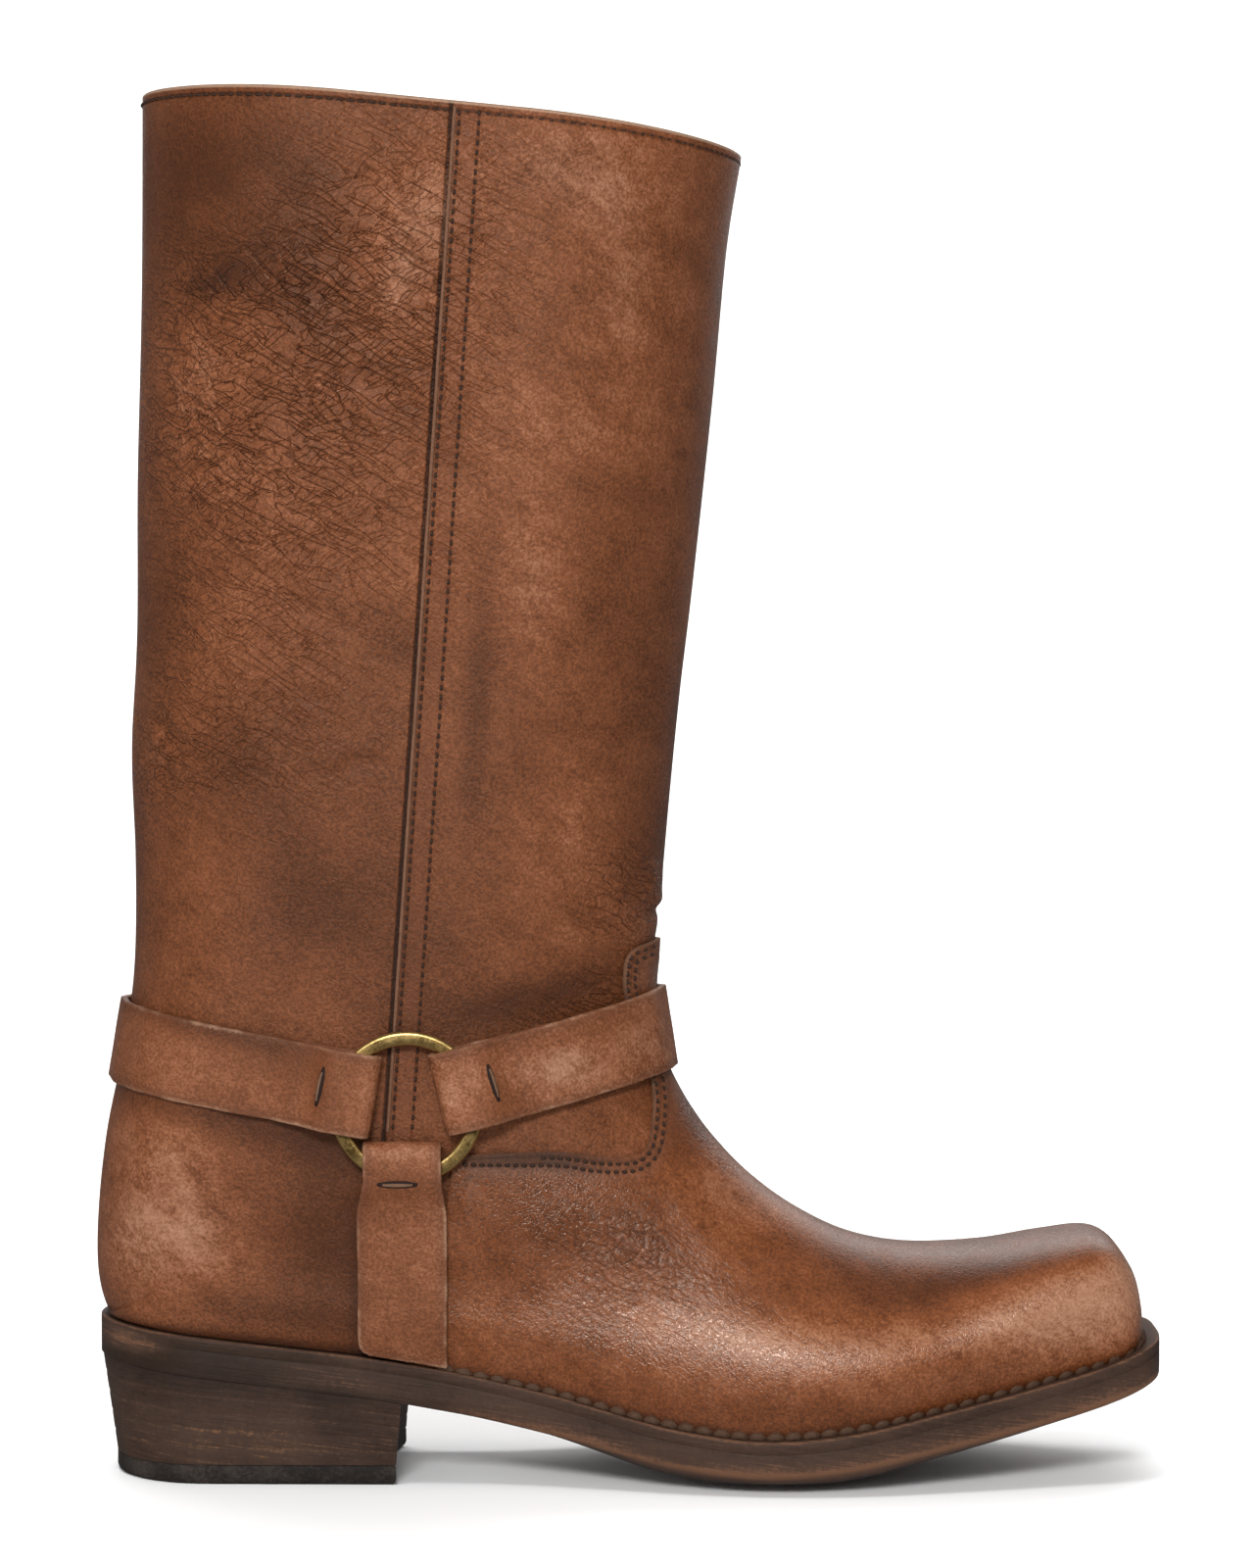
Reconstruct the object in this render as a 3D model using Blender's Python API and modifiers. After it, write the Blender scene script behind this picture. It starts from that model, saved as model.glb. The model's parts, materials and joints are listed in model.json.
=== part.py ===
"""Right harness boot, mid-calf, pulled on: square toe, stacked heel, ringed straps.

Lengths are in millimetres: x runs from the back of the heel to the toe, y across
the foot with the outer side negative, z up from the floor. MM makes them metres.
"""
import math

import bmesh
import bpy
import numpy as np
from mathutils import Matrix, Vector
from mathutils.bvhtree import BVHTree

MM = 0.001
GAP = 0.3                 # space left between pieces that meet
MIDDLE = 135.1            # x of the middle of the boot's length

# Feather outline, where the upper meets the welt
HEEL_CENTRE = 28.5        # centre of the round of the heel seat
HEEL_RADIUS = 27.3
TOE_START = 256.0         # the sides turn into the toe here
TOE_DEPTH = 9.4
TOE_SQUARE = 3.6          # exponent of the toe's corners

# Sole
WELT_THICK = 3.0
WELT_INSIDE = 3.0         # how far the welt reaches in under the upper's wall
EDGE_BEVEL = 1.1
INSOLE_INSIDE = 3.4
INSOLE_PROUD = 2.4

# Heel
BREAST_HOLLOW = 2.5
LIFT_THICK = 5.0
LIFT_BEVEL = 1.2

# Upper and the leather laid on it
WALL = 2.2
VAMP_THICK = 1.3
UPPER_ROWS_FOOT = 21
UPPER_ROWS_SHAFT = 12
UPPER_HALF_COLUMNS = 14

# Harness
RING_X = 80.0
RING_Z = 97.2
RING_OUTER = 19.2
RING_BAND = 3.6
RING_THICK = 2.0
RING_STANDOFF = 3.6       # from the upper to the middle of the ring
STRAP_THICK = 1.8
STRAP_WIDTH = 21.0
UNDER_WIDTH = 22.8
UNDER_FOLD_WIDTH = 19.6
UNDER_SHIFT = -1.2        # the under strap hangs this far behind the ring's centre
UNDER_LAP_WIDTH = 16.4    # the hidden end, pared to clear the vamp's edge
STRAP_RISE = 1.2          # the straps' axes meet this far above the ring's centre
STRAP_BACK_POINT = (6.0, 111.0)
STRAP_FRONT_POINT = (143.5, 114.0)
FOLD_AT = 10.9            # from the ring's centre to the fold of a strap
UNDER_FOLD_AT = 11.7
LAP_END = 27.0            # where the folded end of a strap stops
STRAP_LIFT = 0.7          # off the upper, which the taut strap spans in short flats
STRAP_LIFT_ON_VAMP = 2.3
SEAM_RADIUS = 0.6
SEAM_TOP = (92.6, 342.5)
SEAM_LOW = (75.0, 90.6)

# Half widths of the feather outline along the foot
OUTLINE_COLUMNS = ("x", "outer", "inner")
OUTLINE = (
    (28.5, 27.3, 27.3),
    (60.0, 28.0, 27.0),
    (80.0, 28.3, 25.8),
    (105.0, 29.2, 24.0),
    (128.0, 33.2, 27.4),
    (150.0, 38.2, 34.2),
    (170.0, 40.8, 39.2),
    (190.0, 40.4, 40.8),
    (212.0, 36.2, 38.4),
    (236.0, 29.8, 31.8),
    (256.0, 24.4, 25.0),
)

# Height of the feather line, the outsole's edge, and its lift off the outsole's middle
SOLE_COLUMNS = ("x", "feather", "crown", "edge")
SOLE = (
    (0.0, 40.5, 0.0, 6.6),
    (40.0, 36.0, 0.0, 6.8),
    (79.0, 31.3, 0.0, 7.0),
    (116.0, 23.9, 2.0, 7.0),
    (145.0, 16.8, 5.0, 6.6),
    (170.0, 14.0, 5.9, 6.3),
    (190.0, 15.6, 5.6, 6.3),
    (215.0, 20.6, 4.2, 6.5),
    (240.0, 26.2, 2.6, 6.6),
    (258.0, 31.0, 1.8, 6.6),
    (272.0, 36.4, 1.2, 6.6),
)

# How far the welt and the outsole stand out past the feather outline
OVERHANG_COLUMNS = ("x", "overhang")
OVERHANG = (
    (0.0, 2.0),
    (28.5, 2.0),
    (79.0, 2.4),
    (128.0, 4.0),
    (165.0, 5.0),
    (256.0, 6.3),
    (272.0, 6.3),
)

# The heel from its seat down: back edge, side margin on the feather outline, breast
HEEL_COLUMNS = ("share", "back", "margin", "breast")
HEEL = (
    (0.0, -0.4, 1.7, 78.0),
    (0.5, 1.5, 0.9, 77.3),
    (1.0, 3.3, 0.3, 76.6),
)

# Sections of the upper, fanned from the toe, through the heel, up to the collar.
# Each runs from a low point (on the feather line, then up the back) to a high
# point (over the toe and instep, then up the front). The half widths are taken
# a share "low" of the way up it; "shoulder" times them, a share "high" up.
SECTION_COLUMNS = ("front_x", "front_z", "back_x", "back_z", "outer", "inner",
                   "low", "high", "shoulder", "round", "wrap")
SECTIONS = (
    (265.4, 36.0, 256.0, 0.0, 24.4, 25.0, 0.05, 0.10, 1.00, 3.6, 0.0),
    (264.7, 44.2, 247.0, 0.0, 27.0, 28.4, 0.25, 0.38, 0.95, 4.4, 0.0),
    (262.5, 52.4, 237.0, 0.0, 29.9, 32.0, 0.30, 0.42, 0.94, 3.9, 0.0),
    (256.2, 59.2, 226.0, 0.0, 33.2, 35.6, 0.30, 0.44, 0.92, 3.2, 0.0),
    (244.0, 58.7, 214.0, 0.0, 36.9, 39.2, 0.30, 0.43, 0.90, 2.8, 0.0),
    (227.0, 56.4, 200.0, 0.0, 40.2, 41.6, 0.30, 0.42, 0.88, 2.5, 0.0),
    (208.0, 56.0, 184.0, 0.0, 42.4, 42.2, 0.30, 0.42, 0.86, 2.3, 0.0),
    (191.0, 59.2, 165.0, 0.0, 42.4, 40.4, 0.29, 0.42, 0.85, 2.2, 0.0),
    (176.5, 66.2, 143.0, 0.0, 39.6, 36.4, 0.27, 0.43, 0.86, 2.1, 0.0),
    (164.5, 75.2, 119.0, 0.0, 36.0, 32.2, 0.25, 0.46, 0.91, 2.1, 0.0),
    (155.6, 84.6, 96.0, 0.0, 33.4, 30.0, 0.23, 0.50, 0.99, 2.1, 0.0),
    (150.2, 92.0, 70.0, 0.0, 31.6, 29.6, 0.21, 0.53, 1.06, 2.1, 0.0),
    (146.8, 97.8, 47.0, 0.0, 30.3, 29.4, 0.20, 0.55, 1.11, 2.1, 0.15),
    (144.5, 102.8, 27.0, 0.0, 29.4, 29.2, 0.20, 0.57, 1.15, 2.1, 0.45),
    (142.9, 107.3, 13.0, 0.0, 29.0, 29.0, 0.20, 0.58, 1.17, 2.1, 0.80),
    (141.9, 111.4, 5.0, 0.0, 28.9, 28.9, 0.20, 0.58, 1.18, 2.1, 0.95),
    (141.2, 115.5, 1.2, 40.9, 29.0, 29.0, 0.20, 0.58, 1.19, 2.1, 1.0),
    (140.9, 120.5, -1.5, 51.0, 29.6, 29.6, 0.20, 0.58, 1.18, 2.1, 1.0),
    (141.1, 127.0, -1.4, 67.0, 30.3, 30.3, 0.20, 0.58, 1.16, 2.1, 1.0),
    (142.0, 135.0, 0.8, 87.0, 31.3, 31.3, 0.22, 0.58, 1.13, 2.1, 1.0),
    (143.2, 145.0, 5.0, 108.0, 33.0, 33.0, 0.25, 0.59, 1.10, 2.1, 1.0),
    (144.4, 157.0, 8.0, 129.0, 35.2, 35.2, 0.28, 0.60, 1.06, 2.1, 1.0),
    (146.1, 176.0, 8.4, 157.0, 37.5, 37.5, 0.32, 0.61, 1.03, 2.1, 1.0),
    (148.5, 201.0, 8.2, 187.0, 39.6, 39.6, 0.34, 0.62, 1.01, 2.1, 1.0),
    (151.5, 227.0, 9.4, 221.0, 41.6, 41.6, 0.35, 0.63, 1.00, 2.1, 1.0),
    (156.6, 275.0, 10.3, 279.0, 45.0, 45.0, 0.36, 0.64, 1.00, 2.1, 1.0),
    (160.2, 313.0, 10.9, 325.0, 47.4, 47.4, 0.36, 0.64, 1.00, 2.1, 1.0),
    (164.0, 336.8, 11.2, 351.8, 48.4, 48.4, 0.36, 0.64, 1.00, 2.1, 1.0),
)
HEEL_SHUTS = 16           # the section that reaches the back of the heel seat
COLLAR_ARCH = 2.4         # how far the collar's sides rise over a straight cut
DRAWN_IN = 0.85           # share of a section's height by which the foot's sides have drawn in

# Vamp edge in the side view, from the sole under the strap up to the instep tab
VAMP_COLUMNS = ("x", "z", "radius")
VAMP = (
    (79.5, 66.0, 3.0),
    (89.4, 68.0, 3.0),
    (91.6, 84.6, 1.0),
    (118.0, 85.2, 12.0),
    (129.0, 83.0, 10.0),
    (140.2, 83.0, 8.0),
    (142.0, 98.5, 8.0),
    (133.4, 125.0, 8.0),
    (134.4, 135.0, 4.0),
    (152.0, 139.0, 0.0),
    (290.0, 139.0, 0.0),
)

# Colour, roughness and metal share of each material
LEATHER = ((0.155, 0.075, 0.042), 0.48, 0.0)
STRAP_LEATHER = ((0.170, 0.082, 0.046), 0.50, 0.0)
SOLE_LEATHER = ((0.075, 0.042, 0.028), 0.45, 0.0)
HEEL_LEATHER = ((0.055, 0.034, 0.025), 0.42, 0.0)
LIFT_RUBBER = ((0.018, 0.016, 0.015), 0.70, 0.0)
INSOLE_LEATHER = ((0.260, 0.170, 0.100), 0.75, 0.0)
RING_BRASS = ((0.420, 0.290, 0.120), 0.32, 1.0)


def curve(keys, at):
    """Smooth curve through rows of (place, value, value...), read at the places given."""
    keys = np.asarray(keys, float)
    place = keys[:, 0]
    value = keys[:, 1:]
    step = np.diff(place)[:, None]
    rise = np.diff(value, axis=0) / step
    inside = (rise[:-1] * step[1:] + rise[1:] * step[:-1]) / (step[:-1] + step[1:])
    slope = np.vstack((rise[:1], inside, rise[-1:]))
    at = np.clip(np.asarray(at, float), place[0], place[-1])
    i = np.clip(np.searchsorted(place, at, side="right") - 1, 0, len(place) - 2)
    t = ((at - place[i]) / step[i, 0])[..., None]
    h = step[i]
    return ((2 * t**3 - 3 * t**2 + 1) * value[i] + (t**3 - 2 * t**2 + t) * h * slope[i]
            + (3 * t**2 - 2 * t**3) * value[i + 1] + (t**3 - t**2) * h * slope[i + 1])


def ease(t):
    """Smooth step from 0 to 1."""
    t = np.clip(t, 0.0, 1.0)
    return t * t * (3 - 2 * t)


def feather(x):
    """Height of the welt's top at x."""
    return curve(SOLE, x)[..., 0]


def crown(x):
    """How far the outsole's edge lies above its middle at x."""
    return curve(SOLE, x)[..., 1]


def edge_thick(x):
    """Thickness of the outsole's edge at x."""
    return curve(SOLE, x)[..., 2]


def overhang(x):
    """How far the welt stands out past the feather outline at x."""
    return curve(OVERHANG, x)[..., 0]


def half_width(x, side, margin=0.0):
    """Half width of the feather outline at x, grown by a margin; side 0 is outer, 1 inner."""
    x = np.asarray(x, float)
    heel = np.sqrt(np.clip((HEEL_RADIUS + margin) ** 2 - (HEEL_CENTRE - x) ** 2, 0, None))
    flank = curve(OUTLINE, x)[..., side] + margin
    reach = np.clip((x - TOE_START) / (TOE_DEPTH + margin), 0, 1)
    end, before = curve(OUTLINE, TOE_START)[side], curve(OUTLINE, TOE_START - 1.0)[side]
    taper = end + margin + (end - before) * np.maximum(x - TOE_START, 0)
    toe = taper * (1 - reach**TOE_SQUARE) ** (1 / TOE_SQUARE)
    return np.where(x < HEEL_CENTRE, heel, np.where(x > TOE_START, toe, flank))


def stations(heel_margin, toe_margin, steps):
    """Places along the foot, closer together where the heel and the toe turn."""
    turn = np.radians(np.array((7.0, 20.0, 36.0, 54.0, 72.0)))
    heel = HEEL_CENTRE - (HEEL_RADIUS + heel_margin) * np.cos(turn)
    side = np.linspace(HEEL_CENTRE, TOE_START, steps)
    turn = np.radians(np.array((8.0, 24.0, 42.0, 58.0, 72.0, 82.0)))
    toe = TOE_START + (TOE_DEPTH + toe_margin) * np.sin(turn) ** (2 / TOE_SQUARE)
    return np.concatenate((heel, side, toe))


def loft(loops, ring=False):
    """Points and faces of a tube through equal loops, its ends shut unless it is a ring."""
    loops = [np.asarray(loop, float) for loop in loops]
    size = len(loops[0])
    points = np.concatenate(loops)
    faces = []
    for i in range(len(loops) if ring else len(loops) - 1):
        a = i * size
        b = ((i + 1) % len(loops)) * size
        for j in range(size):
            k = (j + 1) % size
            faces.append((a + j, a + k, b + k, b + j))
    if not ring:
        last = (len(loops) - 1) * size
        faces.append(tuple(range(size - 1, -1, -1)))
        faces.append(tuple(range(last, last + size)))
    return points, faces


def section(k):
    """The row of the section table at a place k between its rows, by column name."""
    keys = [(i,) + row for i, row in enumerate(SECTIONS)]
    for i in range(HEEL_SHUTS):
        keys[i] = keys[i][:4] + (float(feather(keys[i][3])) + GAP,) + keys[i][5:]
    row = dict(zip(SECTION_COLUMNS, curve(keys, k)))
    if k < HEEL_SHUTS:
        row["back_z"] = float(feather(row["back_x"])) + GAP
    return row


def half_section(k, side, count):
    """Points of one half of a section, evenly spaced from its high point to its low end."""
    row = section(k)
    v = 0.5 - 0.5 * np.cos(np.linspace(0, math.pi, 400))
    wide = row["inner"] if side else row["outer"]
    foot = float(half_width(row["back_x"], side)) if k < HEEL_SHUTS else 0.0
    low = row["low"]
    high = row["high"]
    s = np.clip(v / low, 0, 1)
    lower = (1 - row["wrap"]) * np.sin(s * math.pi / 2) + row["wrap"] * np.sqrt(1 - (1 - s) ** 2)
    t = np.clip((v - high) / (1 - high), 0, 1)
    upper = (1 - t ** row["round"]) ** (1 / row["round"])
    settled = high if row["shoulder"] >= 1 else max(high, DRAWN_IN)
    middle = 1 + (row["shoulder"] - 1) * ease((v - low) / (settled - low))
    width = np.where(v < low, foot + (wide - foot) * lower, wide * middle * upper)
    x = row["back_x"] + v * (row["front_x"] - row["back_x"])
    z = row["back_z"] + v * (row["front_z"] - row["back_z"])
    if k == 0:
        width = half_width(x, side)
        z = feather(x) + GAP
    rise = max(k - (len(SECTIONS) - 2), 0.0)
    z = z + COLLAR_ARCH * rise * (width / wide) ** 2
    line = np.stack((x, width if side else -width, z), axis=1)[::-1]
    run = np.concatenate(((0.0,), np.cumsum(np.linalg.norm(np.diff(line, axis=0), axis=1))))
    even = np.linspace(0, run[-1], count + 1)
    return np.stack([np.interp(even, run, line[:, i]) for i in range(3)], axis=1)


def upper_sheet(places, count):
    """Grid of the upper's outer face, open below and at the collar, shut up the back."""
    points = []
    index = []
    for k in places:
        outer = half_section(k, 0, count)[::-1]
        inner = half_section(k, 1, count)
        row = np.concatenate((outer, inner[1:]))
        shut = k >= HEEL_SHUTS
        if shut:
            row = row[:-1]
        start = sum(len(part) for part in points)
        points.append(row)
        numbers = list(range(start, start + len(row)))
        if shut:
            numbers.append(start)
        index.append(numbers)
    points = np.concatenate(points)
    faces = []
    for low, high in zip(index[:-1], index[1:]):
        for j in range(2 * count):
            a, b, c, d = low[j], low[j + 1], high[j + 1], high[j]
            if np.linalg.norm(points[a] - points[c]) < np.linalg.norm(points[b] - points[d]):
                pair = ((a, b, c), (a, c, d))
            else:
                pair = ((a, b, d), (b, c, d))
            faces += [corners for corners in pair if len(set(corners)) == 3]
    return points, faces


def clear_scene():
    """Take away whatever the file starts with."""
    for item in list(bpy.data.objects):
        bpy.data.objects.remove(item, do_unlink=True)


def make_material(name, look):
    """A plain material of one colour, roughness and metal share."""
    colour, roughness, metal = look
    material = bpy.data.materials.new(name)
    material.use_nodes = True
    shader = material.node_tree.nodes["Principled BSDF"]
    shader.inputs["Base Color"].default_value = (*colour, 1.0)
    shader.inputs["Roughness"].default_value = roughness
    shader.inputs["Metallic"].default_value = metal
    material.diffuse_color = (*colour, 1.0)
    return material


def add(name, data, look, group, root):
    """Put an object into its collection, under the root, with a material of its own."""
    item = bpy.data.objects.new(name, data)
    group.objects.link(item)
    item.parent = root
    if look:
        data.materials.append(make_material(name + "_material", look))
    return item


def mesh_from(name, points, faces, face_out=True):
    """Mesh in metres from points in millimetres."""
    mesh = bpy.data.meshes.new(name)
    mesh.from_pydata([tuple(p) for p in np.asarray(points) * MM], [], faces)
    if face_out:
        work = bmesh.new()
        work.from_mesh(mesh)
        bmesh.ops.recalc_face_normals(work, faces=work.faces)
        work.to_mesh(mesh)
        work.free()
    return mesh


def outsole_shape():
    """Outsole: flat on top, crowned below, with a flat spot under the ball of the foot."""
    loops = []
    for x in stations(OVERHANG[0][1], OVERHANG[-1][1], 27):
        margin = float(overhang(x))
        outer = float(half_width(x, 0, margin))
        inner = float(half_width(x, 1, margin))
        top = float(feather(x)) - WELT_THICK - GAP
        edge = top - float(edge_thick(x))
        middle = max(edge - float(crown(x)), 0.0)
        lift = edge - middle
        reach_in = inner - EDGE_BEVEL
        reach_out = outer - EDGE_BEVEL
        loop = (
            (x, -outer, top),
            (x, inner, top),
            (x, inner, edge + EDGE_BEVEL),
            (x, reach_in, edge),
            (x, 0.8 * reach_in, middle + 0.36 * lift),
            (x, 0.5 * reach_in, middle),
            (x, -0.5 * reach_out, middle),
            (x, -0.8 * reach_out, middle + 0.36 * lift),
            (x, -reach_out, edge),
            (x, -outer, edge + EDGE_BEVEL),
        )
        loops.append(loop)
    return loft(loops)


def outline_loop(margin_at, heel_margin, toe_margin, steps):
    """Closed plan outline as (x, y) pairs, from the back of the heel round the outer side."""
    places = stations(heel_margin, toe_margin, steps)
    margin = margin_at(places)
    outer = np.stack((places, -half_width(places, 0, margin)), axis=1)
    inner = np.stack((places, half_width(places, 1, margin)), axis=1)
    back = np.array(((HEEL_CENTRE - HEEL_RADIUS - heel_margin, 0.0),))
    front = np.array(((TOE_START + TOE_DEPTH + toe_margin, 0.0),))
    return np.concatenate((back, outer, front, inner[::-1]))


def welt_shape():
    """Welt: a flat strip all round the foot, under the upper's wall and out past it."""
    out = outline_loop(overhang, OVERHANG[0][1], OVERHANG[-1][1], 27)
    within = outline_loop(lambda x: 0 * x - WELT_INSIDE, -WELT_INSIDE, -WELT_INSIDE, 27)
    loops = []
    for a, b in zip(out, within):
        top_a = float(feather(a[0]))
        top_b = float(feather(b[0]))
        loops.append((
            (a[0], a[1], top_a),
            (a[0], a[1], top_a - WELT_THICK),
            (b[0], b[1], top_b - WELT_THICK),
            (b[0], b[1], top_b),
        ))
    return loft(loops, ring=True)


def insole_shape():
    """Insole with the filling under it, inside the welt and the upper."""
    loops = []
    for x in stations(-INSOLE_INSIDE, -INSOLE_INSIDE, 20):
        outer = float(half_width(x, 0, -INSOLE_INSIDE))
        inner = float(half_width(x, 1, -INSOLE_INSIDE))
        low = float(feather(x)) - WELT_THICK
        top = float(feather(x)) + INSOLE_PROUD
        loops.append(((x, -outer, low), (x, inner, low), (x, inner, top), (x, -outer, top)))
    return loft(loops)


def heel_outline(back, margin, breast):
    """Pairs of plan points down the two sides of the heel, then the hollow breast between."""
    turn = np.radians(np.array((90.0, 74.0, 58.0, 42.0, 26.0, 10.0)))
    reach = HEEL_CENTRE - back
    flank = np.linspace(breast, HEEL_CENTRE, 5)[:-1]
    sides = np.concatenate((flank, HEEL_CENTRE - reach * np.cos(turn)))
    shape = np.concatenate((np.ones(4), np.sin(turn)))
    flat = np.maximum(sides, HEEL_CENTRE)
    outer = -half_width(flat, 0, margin) * shape
    inner = half_width(flat, 1, margin) * shape
    share = np.array((-0.6, -0.2, 0.2, 0.6))
    across = np.where(share < 0, -outer[0] * share, inner[0] * share)
    hollow = np.stack((breast - BREAST_HOLLOW * (1 - share**2), across), axis=1)
    return np.stack((sides, outer), axis=1), np.stack((sides, inner), axis=1), hollow


def heel_levels(levels):
    """Body between heel outlines: rows of (outline, height at x), from the top down."""
    points = []
    faces = []
    size = 0
    for (outer, inner, hollow), height in levels:
        loop = np.concatenate((outer, inner[::-1], hollow[::-1]))
        size = len(loop)
        points.append(np.column_stack((loop, height(loop[:, 0]))))
    pairs = len(levels[0][0][0])
    for i in range(len(levels) - 1):
        for j in range(size):
            k = (j + 1) % size
            faces.append((i * size + j, i * size + k, (i + 1) * size + k, (i + 1) * size + j))
    for start in (0, (len(levels) - 1) * size):
        last = start + 2 * pairs - 1
        faces.append((start, start + 1, last - 1) + tuple(range(last, start + size)))
        for j in range(1, pairs - 1):
            faces.append((start + j, start + j + 1, last - j - 1, last - j))
    return np.concatenate(points), faces


def heel_shape():
    """Stacked heel between the outsole's seat and the top lift."""
    def seat(x):
        return feather(x) - WELT_THICK - edge_thick(x) - 2 * GAP

    foot = LIFT_THICK + GAP
    levels = []
    for share, back, margin, breast in HEEL:
        levels.append((heel_outline(back, margin, breast),
                       lambda x, s=share: seat(x) * (1 - s) + foot * s))
    return heel_levels(levels)


def lift_shape():
    """Rubber top lift, flat where it stands on the floor."""
    share, back, margin, breast = HEEL[-1]
    levels = []
    for inset, height in ((0.0, LIFT_THICK), (0.0, LIFT_BEVEL), (LIFT_BEVEL, 0.0)):
        outline = heel_outline(back + inset, margin - inset, breast - inset)
        levels.append((outline, lambda x, h=height: 0 * x + h))
    return heel_levels(levels)


class Skin:
    """The upper's outer face, for laying other pieces on it."""

    def __init__(self, points, faces):
        self.tree = BVHTree.FromPolygons([Vector(p) for p in points], faces)

    def out(self, start, direction):
        """Where a line from inside the boot meets the skin."""
        hit = self.tree.ray_cast(Vector(start), Vector(direction).normalized())[0]
        return np.array(hit)

    def side(self, x, z, sign):
        """The skin's point on the outer (-1) or inner (+1) side at a side-view place."""
        level = max(z, float(feather(x)) + GAP + 0.5)
        return self.out((x, 0.0, level), (0.0, sign, 0.0)) + np.array((0.0, 0.0, z - level))


def unit(v):
    """A vector of length one."""
    return v / np.linalg.norm(v)


class RingPlace:
    """Where a ring lies on one side: its centre, and axes forward, up and outward."""

    def __init__(self, skin, sign):
        reach = 14.0
        forward = skin.side(RING_X + reach, RING_Z, sign) - skin.side(RING_X - reach, RING_Z, sign)
        rise = skin.side(RING_X, RING_Z + reach, sign) - skin.side(RING_X, RING_Z - reach, sign)
        normal = unit(np.cross(forward, rise))
        self.out = normal if normal[1] * sign > 0 else -normal
        self.forward = unit(forward - np.dot(forward, self.out) * self.out)
        self.up = np.cross(self.forward, self.out)
        self.up = self.up if self.up[2] > 0 else -self.up
        self.centre = skin.side(RING_X, RING_Z, sign) + self.out * RING_STANDOFF
        self.sign = sign


def strap_bed(skin, middle, forward, angles, width):
    """Taut bed of a strap round the boot: centre, outward and upward direction at each angle."""
    up = unit(np.cross(np.array((0.0, -1.0, 0.0)), forward))
    beds = []
    for angle in angles:
        ray = math.cos(angle) * forward + math.sin(angle) * np.array((0.0, 1.0, 0.0))
        line = np.array([skin.out(middle + up * off * width, ray) for off in (-0.5, -0.25, 0, 0.25, 0.5)])
        across = unit(line[-1] - line[0])
        centre = (line[0] + line[-1]) / 2
        normal = unit(ray - np.dot(ray, across) * across)
        centre = centre + normal * max(np.max((line - centre) @ normal), 0.0)
        beds.append(np.concatenate((centre, normal, across)))
    return np.array(beds)


def along(bed, run, s):
    """Bed read at a distance s along it."""
    row = np.array([np.interp(s, run, bed[:, i]) for i in range(9)])
    return row[:3], unit(row[3:6]), unit(row[6:])


def ribbon(places, widths):
    """Strap through places of (centre, outward, upward), each with its two half widths."""
    loops = []
    for (centre, normal, across), (below, above) in zip(places, widths):
        half = normal * STRAP_THICK / 2
        loops.append((centre + across * above + half, centre - across * below + half,
                      centre - across * below - half, centre + across * above - half))
    return loft(loops)


def fold_places(ring, axis_point, direction, across, fold_at):
    """The fold of a strap round a ring, from its outer layer to its inner one."""
    radius = RING_THICK / 2 + GAP + STRAP_THICK / 2
    centre = axis_point + direction * fold_at
    places = []
    for angle in np.radians(np.linspace(0, 180, 7)):
        normal = math.cos(angle) * ring.out - math.sin(angle) * direction
        places.append((centre + normal * radius, normal, across))
    return places


def strap_end(ring, bed_at, direction, across, axis_point, fold_at, lift, outer_steps, inner_steps):
    """One end of a strap: outer layer from the ring outward, its fold, and the lap behind."""
    radius = RING_THICK / 2 + GAP + STRAP_THICK / 2
    single = lift + STRAP_THICK / 2
    double = 2 * GAP + 1.5 * STRAP_THICK
    outer = []
    for s in outer_steps:
        base, normal, up = bed_at(s)
        flat = axis_point + direction * s + ring.out * radius
        height = double + (single - double) * ease((s - LAP_END + 1.0) / 9.0)
        share = float(ease((s - RING_OUTER - 0.4) / 6.0))
        outer.append((flat + (base + normal * height - flat) * share,
                      unit(ring.out + (normal - ring.out) * share),
                      unit(across + (up - across) * share)))
    inner = []
    for s in inner_steps:
        base, normal, up = bed_at(s)
        flat = axis_point + direction * s - ring.out * radius
        share = float(ease((s - RING_OUTER - 0.4) / 6.0))
        inner.append((flat + (base + normal * (GAP + STRAP_THICK / 2) - flat) * share,
                      -unit(ring.out + (normal - ring.out) * share),
                      unit(across + (up - across) * share)))
    return outer, fold_places(ring, axis_point, direction, across, fold_at), inner


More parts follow.
